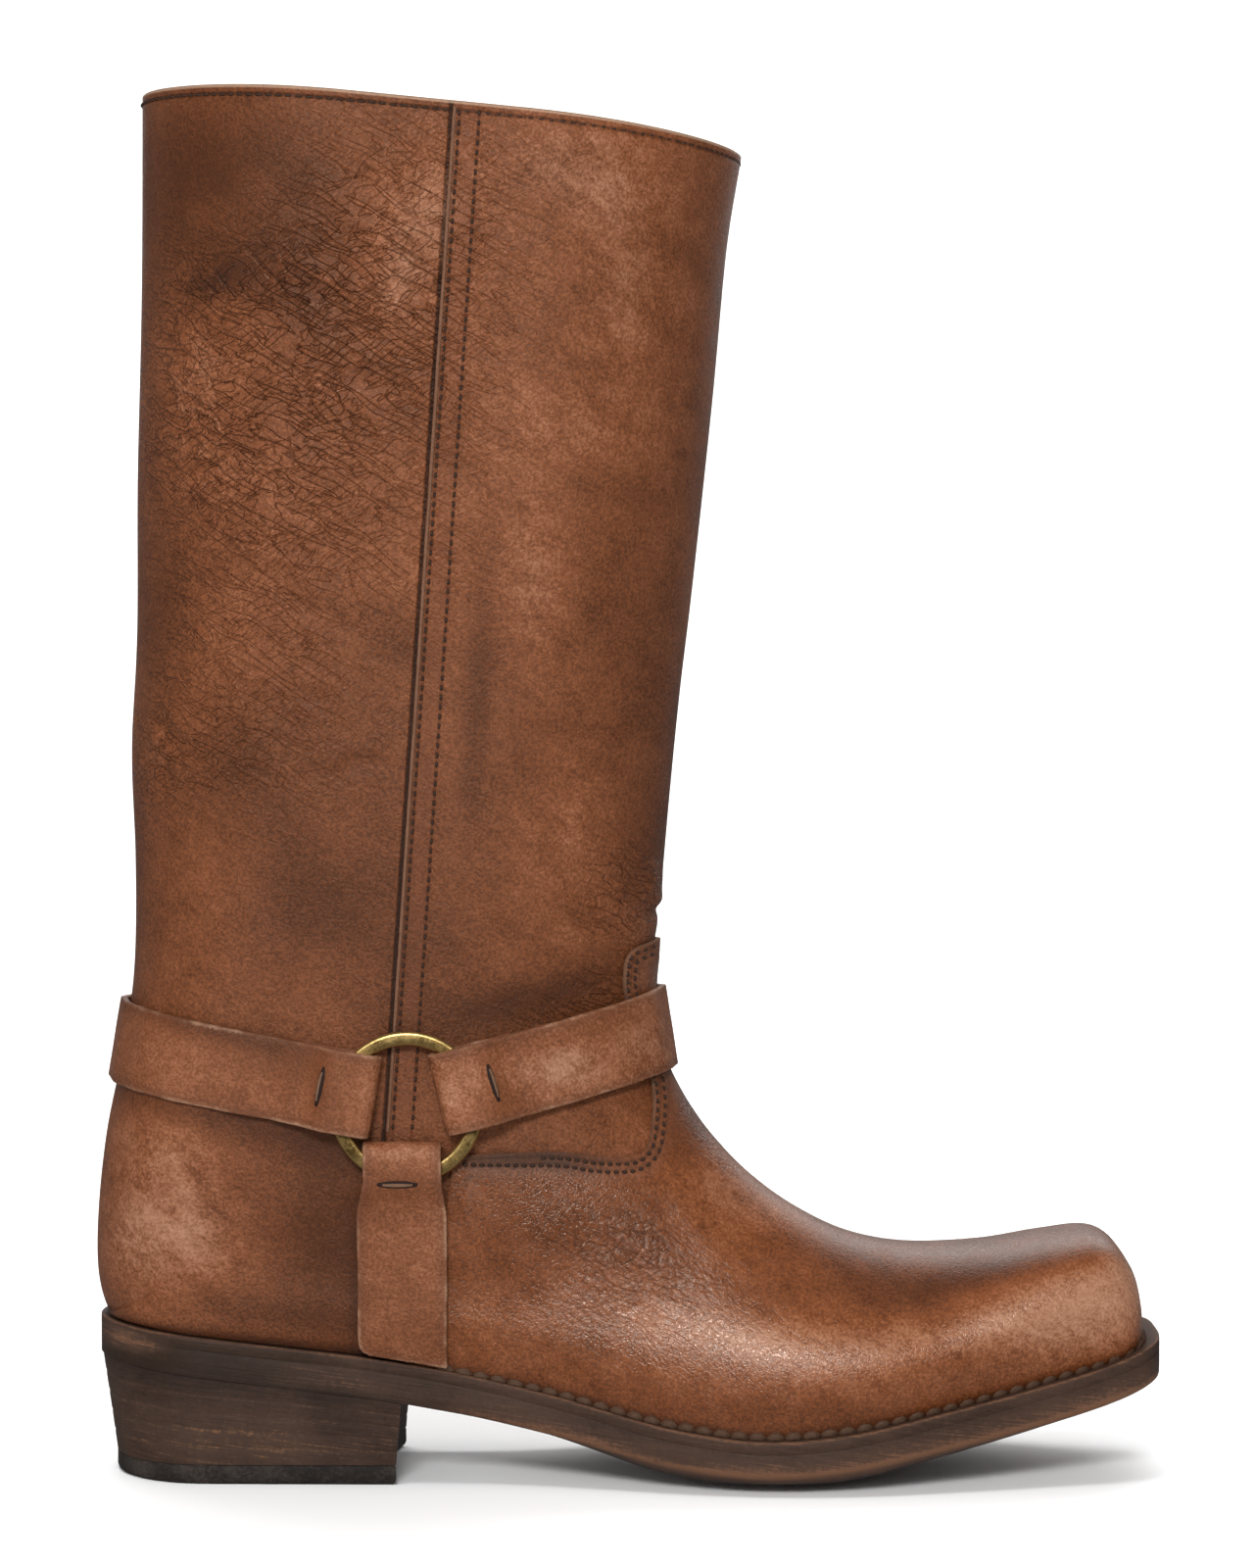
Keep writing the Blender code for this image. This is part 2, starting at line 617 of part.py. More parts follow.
def round_strap(skin, rings, point, angles, middle_x, lift):
    """A strap from the outer ring round the boot to the inner ring, folded at both."""
    start = np.array((RING_X, 0.0, RING_Z + STRAP_RISE))
    toward = unit(np.array((point[0], 0.0, point[1])) - start)
    forward = toward if toward[0] > 0 else -toward
    middle = start + forward * (middle_x - RING_X) / forward[0]
    bed = strap_bed(skin, middle, forward, np.radians(angles), STRAP_WIDTH)
    run = np.concatenate(((0.0,), np.cumsum(np.linalg.norm(np.diff(bed[:, :3], axis=0), axis=1))))
    ends = []
    for ring in rings:
        near = np.argmin(np.linalg.norm(bed[:, :3] - ring.centre, axis=1))
        ends.append(run[near])
    first, last = ends
    length = last - first
    places = []
    steps = np.concatenate(((FOLD_AT,), np.array((15.0, 18.5, 20.5, 22.5, 24.5, 27.0, 30.0, 33.0, 36.0))))
    inner_steps = np.array((15.0, 18.5, 20.5, 22.5, 24.5, LAP_END))
    sides = []
    for ring, origin, way in ((rings[0], first, 1.0), (rings[1], last, -1.0)):
        slope = toward[2] / abs(toward[0])
        heading = math.copysign(1.0, toward[0])
        direction = unit(ring.forward * heading + ring.up * slope)
        across = np.cross(direction, ring.out)
        across = unit(across if across[2] > 0 else -across)
        axis_point = ring.centre + ring.up * STRAP_RISE

        def bed_at(s, origin=origin, way=way):
            return along(bed, run, origin + way * s)

        sides.append(strap_end(ring, bed_at, direction, across, axis_point, FOLD_AT, lift, steps,
                               inner_steps))
    outer, fold, inner = sides[0]
    places += inner[::-1] + fold[::-1] + outer[1:]
    for s in np.linspace(36.0, length - 36.0, 29)[1:-1]:
        base, normal, up = along(bed, run, first + s)
        places.append((base + normal * (lift + STRAP_THICK / 2), normal, up))
    outer, fold, inner = sides[1]
    places += outer[::-1][:-1] + fold + inner
    return ribbon(places, [(STRAP_WIDTH / 2, STRAP_WIDTH / 2)] * len(places))


def under_strap(skin, ring):
    """A strap from a ring down the side to the welt."""
    middle = RING_X + UNDER_SHIFT
    foot = float(feather(middle)) + GAP + 0.2
    slope = float(feather(middle + 1.0) - feather(middle - 1.0)) / 2
    length = ring.centre[2] - foot

    def bed_at(s):
        z = ring.centre[2] - s
        half = UNDER_WIDTH / 2
        tilt = slope * float(ease(s / length))
        line = np.array([skin.side(middle + off * half, z + tilt * off * half, ring.sign)
                         for off in (-1, -0.5, 0, 0.5, 1)])
        above = skin.side(middle, max(z, foot + 4.0) + 4.0, ring.sign)
        below = skin.side(middle, max(z, foot + 4.0) - 4.0, ring.sign)
        across = unit(line[-1] - line[0])
        normal = unit(np.cross(across, above - below))
        normal = normal if normal[1] * ring.sign > 0 else -normal
        centre = (line[0] + line[-1]) / 2
        centre = centre + normal * max(np.max((line - centre) @ normal), 0.0)
        return centre, normal, across

    lean = bed_at(length)[1][2]
    length = length - max(-lean, 0.0) * (STRAP_LIFT_ON_VAMP + STRAP_THICK) - 0.3
    steps = np.array((UNDER_FOLD_AT, 15.0, 18.5, 20.5, 22.5, 24.5, 27.0, 31.0, 36.0, 44.0, 52.0, 58.0))
    steps = np.concatenate((steps, length - np.array((3.0, 1.6, 0.6, 0.0))))
    inner_steps = np.array((15.0, 18.5, 20.5, 22.5, 24.5, LAP_END))
    hang = ring.centre + ring.forward * UNDER_SHIFT
    outer, fold, inner = strap_end(ring, bed_at, -ring.up, ring.forward, hang, UNDER_FOLD_AT,
                                   STRAP_LIFT_ON_VAMP, steps, inner_steps)
    places = inner[::-1] + fold[::-1] + outer[1:]
    narrow = UNDER_FOLD_WIDTH / 2
    full = UNDER_WIDTH / 2
    lap = UNDER_LAP_WIDTH / 2
    widths = [(lap, lap) if s > RING_OUTER else (narrow, narrow) for s in inner_steps[::-1]]
    widths += [(narrow, narrow)] * len(fold)
    for s in steps[1:]:
        reach = narrow + (full - narrow) * float(ease((s - 18.0) / 10.0))
        corner = max(3.0 - (length - s), 0.0)
        widths.append((reach - 3.0 + math.sqrt(9.0 - corner**2) if corner else reach, reach))
    return ribbon(places, widths)


def rounded(corners, steps=5):
    """Side-view outline with each corner of (x, z, radius) rounded off."""
    line = []
    count = len(corners)
    for i in range(count):
        here = np.array(corners[i][:2])
        before = np.array(corners[i - 1][:2]) - here
        after = np.array(corners[(i + 1) % count][:2]) - here
        reach = min(corners[i][2], 0.45 * np.linalg.norm(before), 0.45 * np.linalg.norm(after))
        a = here + unit(before) * reach
        b = here + unit(after) * reach
        for t in np.linspace(0, 1, steps) if reach > 0 else (0.5,):
            line.append((1 - t) ** 2 * a + 2 * t * (1 - t) * here + t**2 * b)
    return np.array(line)


def vamp_cutter_shape():
    """Block whose side view is the vamp: its own edge above, just off the welt below."""
    low = [(x, float(feather(x)) + GAP + 0.3, 0.0) for x in np.linspace(290.0, 79.5, 18)]
    line = rounded(tuple(VAMP) + tuple(low))
    reach = 90.0
    loops = []
    for y in (-reach, reach):
        loops.append(np.column_stack((line[:, 0], 0 * line[:, 0] + y, line[:, 1])))
    return loft(loops)


def ring_mesh():
    """Outline of a ring to be turned: a flat band with its edges taken off."""
    inner = RING_OUTER - RING_BAND
    half = RING_THICK / 2
    edge = 0.5
    profile = ((inner, half - edge), (inner + edge, half),
               (RING_OUTER - edge, half), (RING_OUTER, half - edge),
               (RING_OUTER, edge - half), (RING_OUTER - edge, -half),
               (inner + edge, -half), (inner, edge - half))
    mesh = bpy.data.meshes.new("ring")
    count = len(profile)
    edges = [(i, (i + 1) % count) for i in range(count)]
    mesh.from_pydata([(x * MM, 0.0, z * MM) for x, z in profile], edges, [])
    return mesh


def add_ring(name, place, group, root):
    """A ring turned about its own axis and set flat on the boot's side."""
    item = add(name, ring_mesh(), RING_BRASS, group, root)
    turn = item.modifiers.new("turn", "SCREW")
    turn.steps = 32
    turn.render_steps = 32
    turn.use_merge_vertices = True
    turn.merge_threshold = 0.00005
    turn.use_smooth_shade = False
    axes = Matrix((place.forward, np.cross(place.out, place.forward), place.out)).transposed().to_4x4()
    item.matrix_local = Matrix.Translation(Vector(place.centre) * MM) @ axes
    return item


def add_side_seam(name, skin, sign, group, root):
    """Bead up the side seam, from the strap's fold to just below the collar."""
    data = bpy.data.curves.new(name, "CURVE")
    data.dimensions = "3D"
    data.bevel_depth = SEAM_RADIUS * MM
    data.bevel_resolution = 1
    data.use_fill_caps = True
    spline = data.splines.new("POLY")
    steps = np.linspace(0, 1, 22)
    spline.points.add(len(steps) - 1)
    for point, t in zip(spline.points, steps):
        x = SEAM_LOW[0] + t * (SEAM_TOP[0] - SEAM_LOW[0])
        z = SEAM_LOW[1] + t * (SEAM_TOP[1] - SEAM_LOW[1])
        place = skin.side(x, z, sign) + np.array((0.0, sign * (SEAM_RADIUS + GAP + 0.1), 0.0))
        point.co = (*(place * MM), 1.0)
    return add(name, data, LEATHER, group, root)


def build():
    """The whole boot."""
    clear_scene()
    group = bpy.data.collections.new("harness_boot")
    tools = bpy.data.collections.new("cutters")
    bpy.context.scene.collection.children.link(group)
    bpy.context.scene.collection.children.link(tools)
    root = bpy.data.objects.new("boot_root", None)
    group.objects.link(root)
    root.location = (-MIDDLE * MM, 0.0, 0.0)

    foot_rows = np.linspace(0, HEEL_SHUTS, UPPER_ROWS_FOOT)
    shaft_rows = np.linspace(HEEL_SHUTS, len(SECTIONS) - 1, UPPER_ROWS_SHAFT)[1:]
    points, faces = upper_sheet(np.concatenate((foot_rows, shaft_rows)), UPPER_HALF_COLUMNS)
    skin = Skin(points, faces)

    upper = add("upper", mesh_from("upper", points, faces, face_out=False), LEATHER, group, root)
    wall = upper.modifiers.new("wall", "SOLIDIFY")
    wall.thickness = WALL * MM
    wall.offset = -1.0
    wall.use_even_offset = True

    for name, shape, look in (
        ("outsole", outsole_shape(), SOLE_LEATHER),
        ("welt", welt_shape(), SOLE_LEATHER),
        ("insole", insole_shape(), INSOLE_LEATHER),
        ("heel_stack", heel_shape(), HEEL_LEATHER),
        ("heel_top_lift", lift_shape(), LIFT_RUBBER),
    ):
        add(name, mesh_from(name, *shape), look, group, root)

    vamp_rows = np.concatenate((foot_rows, shaft_rows[shaft_rows < 21.0]))
    points, faces = upper_sheet(vamp_rows, UPPER_HALF_COLUMNS)
    vamp = add("vamp", mesh_from("vamp", points, faces, face_out=False), LEATHER, group, root)
    off = vamp.modifiers.new("clear of the upper", "DISPLACE")
    off.mid_level = 0.0
    off.strength = GAP * MM
    layer = vamp.modifiers.new("leather", "SOLIDIFY")
    layer.thickness = VAMP_THICK * MM
    layer.offset = 1.0
    cutter = add("vamp_cutter", mesh_from("vamp_cutter", *vamp_cutter_shape()), None, tools, root)
    cutter.hide_render = True
    cutter.display_type = "WIRE"
    trim = vamp.modifiers.new("edge", "BOOLEAN")
    trim.operation = "INTERSECT"
    trim.solver = "EXACT"
    trim.object = cutter

    rings = (RingPlace(skin, -1.0), RingPlace(skin, 1.0))
    add_ring("ring_lateral", rings[0], group, root)
    add_ring("ring_medial", rings[1], group, root)
    for name, shape in (
        ("strap_back", round_strap(skin, rings, STRAP_BACK_POINT, np.linspace(305, 55, 161), 55.0,
                                   STRAP_LIFT)),
        ("strap_front", round_strap(skin, rings, STRAP_FRONT_POINT, np.linspace(-124, 124, 161), 105.0,
                                    STRAP_LIFT_ON_VAMP)),
        ("strap_under_lateral", under_strap(skin, rings[0])),
        ("strap_under_medial", under_strap(skin, rings[1])),
    ):
        add(name, mesh_from(name, *shape), STRAP_LEATHER, group, root)
    add_side_seam("side_seam_lateral", skin, -1.0, group, root)
    add_side_seam("side_seam_medial", skin, 1.0, group, root)


build()
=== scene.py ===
"""Looks of the right harness boot: creased leather, stitches, brass, sole, floor, light and camera.

Lengths are millimetres in the boot's own frame, as in the part's source: x from the back of the
heel to the toe, y across the foot with the outer side negative, z up from the floor.
"""

import json
import math

import bmesh
import bpy
import numpy as np
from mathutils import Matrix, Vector, noise
from mathutils.bvhtree import BVHTree
from mathutils.kdtree import KDTree

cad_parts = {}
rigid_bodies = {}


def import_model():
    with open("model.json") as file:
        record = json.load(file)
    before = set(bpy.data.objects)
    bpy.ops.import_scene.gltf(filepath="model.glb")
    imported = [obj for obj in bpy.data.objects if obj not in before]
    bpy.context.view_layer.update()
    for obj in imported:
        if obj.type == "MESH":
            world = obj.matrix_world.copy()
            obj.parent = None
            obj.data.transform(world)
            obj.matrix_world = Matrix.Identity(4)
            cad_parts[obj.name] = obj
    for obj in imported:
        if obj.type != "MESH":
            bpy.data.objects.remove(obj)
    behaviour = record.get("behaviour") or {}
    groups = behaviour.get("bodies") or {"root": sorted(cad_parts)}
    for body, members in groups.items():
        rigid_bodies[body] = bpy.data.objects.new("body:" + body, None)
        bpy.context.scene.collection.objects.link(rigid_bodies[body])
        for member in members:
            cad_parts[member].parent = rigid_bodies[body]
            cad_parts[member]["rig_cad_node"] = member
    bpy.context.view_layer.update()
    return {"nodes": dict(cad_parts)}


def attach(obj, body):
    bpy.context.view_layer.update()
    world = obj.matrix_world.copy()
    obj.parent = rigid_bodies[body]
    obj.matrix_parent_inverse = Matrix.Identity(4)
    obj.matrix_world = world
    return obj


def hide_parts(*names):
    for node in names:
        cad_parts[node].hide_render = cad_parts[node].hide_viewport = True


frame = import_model()

MM = 0.001
SHIFT = (135.1, 0.0, 0.0)   # where the shared frame has its zero
GAP = 0.3                 # the solids leave this between pieces that meet
AWAY = 99.0               # stands for far from an edge
TINY = 1e-9
SIDE_VIEW = 120.0         # rays from the side start this far out
SIDES = (("lateral", -1.0), ("medial", 1.0))

# The shoe's own sizes, as in the solids
HEEL_CENTRE = 28.5
HEEL_RADIUS = 27.3
TOE_START = 256.0
TOE_DEPTH = 9.4
TOE_SQUARE = 3.6
WELT_THICK = 3.0
WELT_INSIDE = 3.0
LIFT_THICK = 5.0
LIFT_BEVEL = 1.2
BREAST_HOLLOW = 2.5
WALL = 2.2
VAMP_THICK = 1.3
RING_BAND = 3.6
RING_THICK = 2.0
SEAM_TOP = (92.6, 342.5)
SEAM_LOW = (75.0, 90.6)
HEEL_SHUTS = 16           # sections from this one on close round the heel
COLLAR_ARCH = 2.4
DRAWN_IN = 0.85           # share of a section's height by which the foot's sides have drawn in

# Fineness of curves and grids
SECTION_STEPS = 500
CORNER_STEPS = 9
CORNER_SHARE = 0.45       # of a side, which a rounded corner may take
HEEL_TURN = (3.0, 86.0, 26)   # first and last degrees, and steps
TOE_TURN = (4.0, 87.0, 30)
FOOT_ROWS = 100
SHAFT_ROWS = 200
HALF_STEPS = 112
VAMP_FOOT_ROWS = 128
VAMP_TAB_ROWS = 40
VAMP_TAB_TOP = 21.5       # place in the section table
LINING_STEP = 5
WELT_STEPS = 110
SOLE_STEPS = 120
HEEL_CAP_STEPS = 61
HEEL_SIDE_STEPS = 21
COLLAR_STEPS = 200

# Relief of the leather
SIDE_BLEND = 12.0         # a feature of one side dies out over this width about the middle
RIDGE_PLACE = 1.7         # the ridge beside a crease: place and width in widths of the trough
RIDGE_WIDTH = 1.2
RIDGE_SHARE = 0.75
CREASE_WAVES = ((0.9, 7.0), (0.5, 17.0))   # size and number of the wobbles along a crease
COLLAR_FLAT = 14.0        # creases fade out over this height under the collar
VAMP_COVER = 4.0          # the upper's relief starts to fade this far outside the vamp
VAMP_FADE = 6.0
PANEL_STEP = 0.30         # the front panel lies this much higher than the back one
PANEL_EDGE = -1.0
PANEL_BLEND = 1.6
SEAM_SQUARE = 0.997       # turns a level distance from the seam into a square one
VAMP_LIFT = 0.2
VAMP_CROWN = 0.35
VAMP_EDGE = 6.0
VAMP_BEVEL = 0.28
LIP = ((0.45, 0.35), (WALL / 2, 0.15), (WALL - 0.4, 0.35))   # set in and rise of the collar's cut edge
WELT_SHADE_HEIGHT = 2.4         # height of the painted shade in the groove just above the welt
WELT_SHADE_DARK = -0.9

# Seams and stitches; a stitch has a length, a radius and a bow
WAY_STEP = 0.3
STITCH_JUMP = 1.2         # a longer step means that the row has left the surface
STITCH_PITCH = 2.4
STITCH_SIDES = 6
# Thickness along a stitch: place in half lengths, share of the radius
STITCH_PROFILE = (
    (-1.0, 0.30),
    (-0.82, 0.75),
    (-0.4, 1.0),
    (0.0, 1.0),
    (0.4, 1.0),
    (0.82, 0.75),
    (1.0, 0.30),
)
BOW_DOWN = 0.65
SEAM_STITCH = (1.5, 0.36, 1.15)
SEAM_ROWS = (1.2, 6.1)
SEAM_EXTRA = 2.0          # the rows run this far past the seam's top
VAMP_STITCH = (1.5, 0.432, 1.15)
VAMP_PITCH = 2.1
VAMP_SEWN = 94.0          # the rows start here, out of the ring
VAMP_ROWS = (1.3, 3.2)
COLLAR_STITCH = (2.0, 0.30, 1.15)
COLLAR_PITCH = 2.6
COLLAR_ROW = 2.1
COLLAR_SECTION = 26.0     # about the height between the last two sections
WELT_STITCH = (4.9, 1.12, 0.9)
WELT_PITCH = 4.5
WELT_ROW = (1.5, -0.55)   # margin on the feather outline, and depth
WELT_SEWN = 88.0
BEAD_RADIUS = 0.47
BEAD_UNEVEN = 0.10
BEAD_BUMPS = 0.5
BEAD_SEED = 3.0
BEAD_SWAY = 0.10
BEAD_BENDS = 0.09
BEAD_LIFT = 0.12
BEAD_STEP = 1.6
BEAD_EXTRA = 5.0
BEAD_SIDES = 10
BEAD_ASKEW = (0.31, 0.17, 0.93)   # any direction off the bead's own
TACK = (8.8, 0.66, 0.7)
TACK_LIFT = 0.05
# dark bodies sunk in the straps under the bars, painted shade of the slits
SLIT = (11.4, 1.00, 0.5)
SLIT_SINK = 0.42
BAR_SPOTS = (-0.8, 0.0, 0.8)      # where a bar is laid on its strap, in half lengths

# Welt, from its top outward and down: margin, depth, how worn
WELT_PROFILE = (
    (-0.9, 0.0, 0.25),
    (-0.35, 0.06, 0.75),
    (-0.06, 0.35, 0.6),
    (0.0, 0.9, 0.15),
    (0.0, 2.9, 0.05),
    (-0.12, WELT_THICK + 0.22, 0.1),
)
WELT_SINK = 0.2           # the welt reaches down to the outsole
SOLE_TOP = 0.25           # under the welt
HEEL_FRONT = 84.0         # the sole's edge is trimmed from here on
TRIM_BLEND = 14.0
# Outsole's edge: height from its top or from its lower edge, set in, set in more where trimmed,
# height, how worn
EDGE = (
    (True, 0.12, 0.0, 0.0, 0.1),
    (True, 0.0, 0.0, -0.5, 0.05),
    (False, 0.0, 0.0, 2.2, 0.25),
    (False, 0.0, 0.12, 1.3, 0.6),
    (False, 0.0, 0.5, 0.4, 0.8),
    (False, 0.05, 1.15, 0.0, 0.6),
)
# Outsole's underside: share of the half width, share of the crown's height, how worn
CROWN = (
    (0.8, 0.36, 0.1),
    (0.5, 0.0, 0.3),
)
CROWN_INSET = 1.2

# Heel, straps and rings
HEEL_LAYERS = 5
LAYER_STEPS = 6
LAYER_GROOVE = 0.14
GROOVE_WIDTH = 0.07       # share of a layer
LAYER_WORN = 0.12
GROOVE_WORN = 1.2
STACK_GAP = 0.1
LIFT_PROFILE = ((0.35, LIFT_THICK), (0.0, LIFT_THICK - 0.4), (0.0, 1.3), (0.35, 0.5), (LIFT_BEVEL, 0.0))
STRAP_SHARP = 0.75        # radians between faces at a strap's cut edge
STRAP_BEVEL = 0.5
STRAP_CUTS = 13
STRAP_WIDE = 9.0          # longer edges run across the strap
STRAP_SEED = 11.0
STRAP_WAVES = 0.11
STRAP_WAVE_HIGH = 0.14
FUZZ_WAVES = 0.9
FUZZ_HIGH = 0.16
FUZZ_REACH = 1.2          # in from the edge
EDGE_STEP = 0.6
RING_STEPS = 160
RING_DENT = 0.03
RING_DENTS = 7
# Ring's section, from either rim: distance in, height, how rubbed
RIM = (
    (0.0, 0.0, 0.6),
    (0.08, 0.55 * RING_THICK / 2, 0.9),
    (0.55, RING_THICK / 2 - 0.06, 1.0),
    (0.9, RING_THICK / 2, 0.3),
)

# Paper sweep under and behind the boot
SWEEP_HALF = 4000.0
SWEEP_FRONT = -4200.0
SWEEP_BEND = 1700.0
SWEEP_RADIUS = 1600.0
SWEEP_HEIGHT = 3600.0
SWEEP_STEPS = 24

# Half widths of the feather outline: x, outer, inner
OUTLINE = (
    (28.5, 27.3, 27.3),
    (60, 28, 27),
    (80, 28.3, 25.8),
    (105, 29.2, 24),
    (128, 33.2, 27.4),
    (150, 38.2, 34.2),
    (170, 40.8, 39.2),
    (190, 40.4, 40.8),
    (212, 36.2, 38.4),
    (236, 29.8, 31.8),
    (256, 24.4, 25),
)

# Sole along the foot: x, height of the welt's top, crown of the underside, thickness at the edge
SOLE = (
    (0, 40.5, 0, 6.6),
    (40, 36, 0, 6.8),
    (79, 31.3, 0, 7),
    (116, 23.9, 2, 7),
    (145, 16.8, 5, 6.6),
    (170, 14, 5.9, 6.3),
    (190, 15.6, 5.6, 6.3),
    (215, 20.6, 4.2, 6.5),
    (240, 26.2, 2.6, 6.6),
    (258, 31, 1.8, 6.6),
    (272, 36.4, 1.2, 6.6),
)

# How far the welt stands out: x, overhang
OVERHANG = (
    (0, 2),
    (28.5, 2),
    (79, 2.4),
    (128, 4),
    (165, 5),
    (256, 6.3),
    (272, 6.3),
)

# Heel from its seat to the lift: share of the way down, back, margin, breast
HEEL = (
    (0, -0.4, 1.7, 78),
    (0.5, 1.5, 0.9, 77.3),
    (1, 3.3, 0.3, 76.6),
)

# Sections of the upper, from the toe's tip to the collar
SECTION_COLUMNS = ("front_x", "front_z", "back_x", "back_z", "outer", "inner",
                   "low", "high", "shoulder", "round", "wrap")
SECTIONS = (
    (265.4, 36, 256, 0, 24.4, 25, 0.05, 0.10, 1.00, 3.6, 0),
    (264.7, 44.2, 247, 0, 27, 28.4, 0.25, 0.38, 0.95, 4.4, 0),
    (262.5, 52.4, 237, 0, 29.9, 32, 0.30, 0.42, 0.94, 3.9, 0),
    (256.2, 59.2, 226, 0, 33.2, 35.6, 0.30, 0.44, 0.92, 3.2, 0),
    (244, 58.7, 214, 0, 36.9, 39.2, 0.30, 0.43, 0.90, 2.8, 0),
    (227, 56.4, 200, 0, 40.2, 41.6, 0.30, 0.42, 0.88, 2.5, 0),
    (208, 56, 184, 0, 42.4, 42.2, 0.30, 0.42, 0.86, 2.3, 0),
    (191, 59.2, 165, 0, 42.4, 40.4, 0.29, 0.42, 0.85, 2.2, 0),
    (176.5, 66.2, 143, 0, 39.6, 36.4, 0.27, 0.43, 0.86, 2.1, 0),
    (164.5, 75.2, 119, 0, 36, 32.2, 0.25, 0.46, 0.91, 2.1, 0),
    (155.6, 84.6, 96, 0, 33.4, 30, 0.23, 0.50, 0.99, 2.1, 0),
    (150.2, 92, 70, 0, 31.6, 29.6, 0.21, 0.53, 1.06, 2.1, 0),
    (146.8, 97.8, 47, 0, 30.3, 29.4, 0.20, 0.55, 1.11, 2.1, 0.15),
    (144.5, 102.8, 27, 0, 29.4, 29.2, 0.20, 0.57, 1.15, 2.1, 0.45),
    (142.9, 107.3, 13, 0, 29, 29, 0.20, 0.58, 1.17, 2.1, 0.80),
    (141.9, 111.4, 5, 0, 28.9, 28.9, 0.20, 0.58, 1.18, 2.1, 0.95),
    (141.2, 115.5, 1.2, 40.9, 29, 29, 0.20, 0.58, 1.19, 2.1, 1),
    (140.9, 120.5, -1.5, 51, 29.6, 29.6, 0.20, 0.58, 1.18, 2.1, 1),
    (141.1, 127, -1.4, 67, 30.3, 30.3, 0.20, 0.58, 1.16, 2.1, 1),
    (142, 135, 0.8, 87, 31.3, 31.3, 0.22, 0.58, 1.13, 2.1, 1),
    (143.2, 145, 5, 108, 33, 33, 0.25, 0.59, 1.10, 2.1, 1),
    (144.4, 157, 8, 129, 35.2, 35.2, 0.28, 0.60, 1.06, 2.1, 1),
    (146.1, 176, 8.4, 157, 37.5, 37.5, 0.32, 0.61, 1.03, 2.1, 1),
    (148.5, 201, 8.2, 187, 39.6, 39.6, 0.34, 0.62, 1.01, 2.1, 1),
    (151.5, 227, 9.4, 221, 41.6, 41.6, 0.35, 0.63, 1.00, 2.1, 1),
    (156.6, 275, 10.3, 279, 45, 45, 0.36, 0.64, 1.00, 2.1, 1),
    (160.2, 313, 10.9, 325, 47.4, 47.4, 0.36, 0.64, 1.00, 2.1, 1),
    (164, 336.8, 11.2, 351.8, 48.4, 48.4, 0.36, 0.64, 1.00, 2.1, 1),
)

# Corners of the vamp's edge in the side view: x, z, radius
VAMP = (
    (79.5, 66, 3),
    (89.4, 68, 3),
    (91.6, 84.6, 1),
    (118, 85.2, 12),
    (129, 83, 10),
    (140.2, 83, 8),
    (142, 98.5, 8),
    (133.4, 125, 8),
    (134.4, 135, 4),
    (152, 139, 0),
    (290, 139, 0),
)

# Main creases: middle of each in the side view, side (0 both), length, slope in degrees, bow,
# width and depth. Each is a soft trough with a ridge above it.
SHAFT_CREASES = (
    (64, 315, -1, 44, -36, 2, 1.9, 0.71),
    (78, 304, -1, 40, -40, -2, 2, 0.81),
    (60, 298, -1, 46, -24, 3, 1.9, 0.81),
    (76, 288, -1, 36, -30, 2, 1.7, 0.71),
    (33, 288, -1, 46, -27, 3, 2, 0.99),
    (64, 279, -1, 56, -18, 3, 2, 1.09),
    (40, 278, -1, 40, -30, -2, 1.9, 0.91),
    (34, 268, -1, 44, -22, 2, 2, 0.95),
    (68, 266, -1, 40, -26, 2, 1.9, 0.71),
    (28, 258, -1, 38, -24, 2, 1.9, 0.81),
    (54, 252, -1, 46, -24, 2, 2, 0.76),
    (44, 240, -1, 48, -28, 2, 2, 0.71),
    (50, 226, -1, 52, -34, 2, 2.2, 0.85),
    (32, 206, -1, 44, -30, 2, 2.2, 0.71),
    (52, 200, -1, 40, -26, 3, 2, 0.57),
    (66, 180, -1, 42, 8, 5, 2.2, 0.57),
    (20, 190, 0, 22, -42, 1, 2.2, 1.08),
    (18, 181, 0, 20, -46, 1, 2, 0.83),
    (140, 144, 0, 26, -24, 3, 2, 0.95),
    (136, 152, 0, 24, -32, 2, 1.9, 0.67),
    (128, 140, 0, 24, -16, 3, 2, 0.62),
    (44, 300, 1, 50, -26, 3, 2, 0.85),
    (64, 284, 1, 46, -30, 2, 1.9, 0.81),
    (38, 270, 1, 52, -22, 3, 2, 0.85),
    (60, 250, 1, 46, -28, 2, 2, 0.76),
    (42, 228, 1, 44, -32, 2, 2, 0.71),
    (56, 204, 1, 40, -24, 2, 2.2, 0.62),
)

# Broad soft hollows (negative) and swells of the shaft and foot: place, side, reach, slope, height
SHAFT_SWELLS = (
    (60, 300, 0, 40, 26, -20, -0.9),
    (30, 250, 0, 30, 26, -20, 0.7),
    (70, 210, 0, 34, 30, -10, -0.7),
    (20, 186, 0, 16, 18, -30, 0.8),
    (120, 280, 0, 26, 44, 0, 0.6),
    (118, 180, 0, 24, 36, 10, -0.7),
    (36, 150, 0, 26, 18, 0, -0.6),
)
VAMP_SWELLS = (
    (138, 52, 0, 18, 12, -30, -0.7),
    (205, 46, 0, 18, 9, -28, -0.8),
    (226, 50, 0, 20, 8, 10, -0.5),
    (190, 34, 0, 30, 8, -6, 0.5),
)
VAMP_CREASES = (
    (128, 62, 0, 22, -34, 2, 2.2, 0.33),
    (136, 56, 0, 24, -40, 2, 2.2, 0.36),
    (144, 68, 0, 24, -46, 2, 2, 0.30),
    (150, 60, 0, 20, -42, 2, 2, 0.27),
)
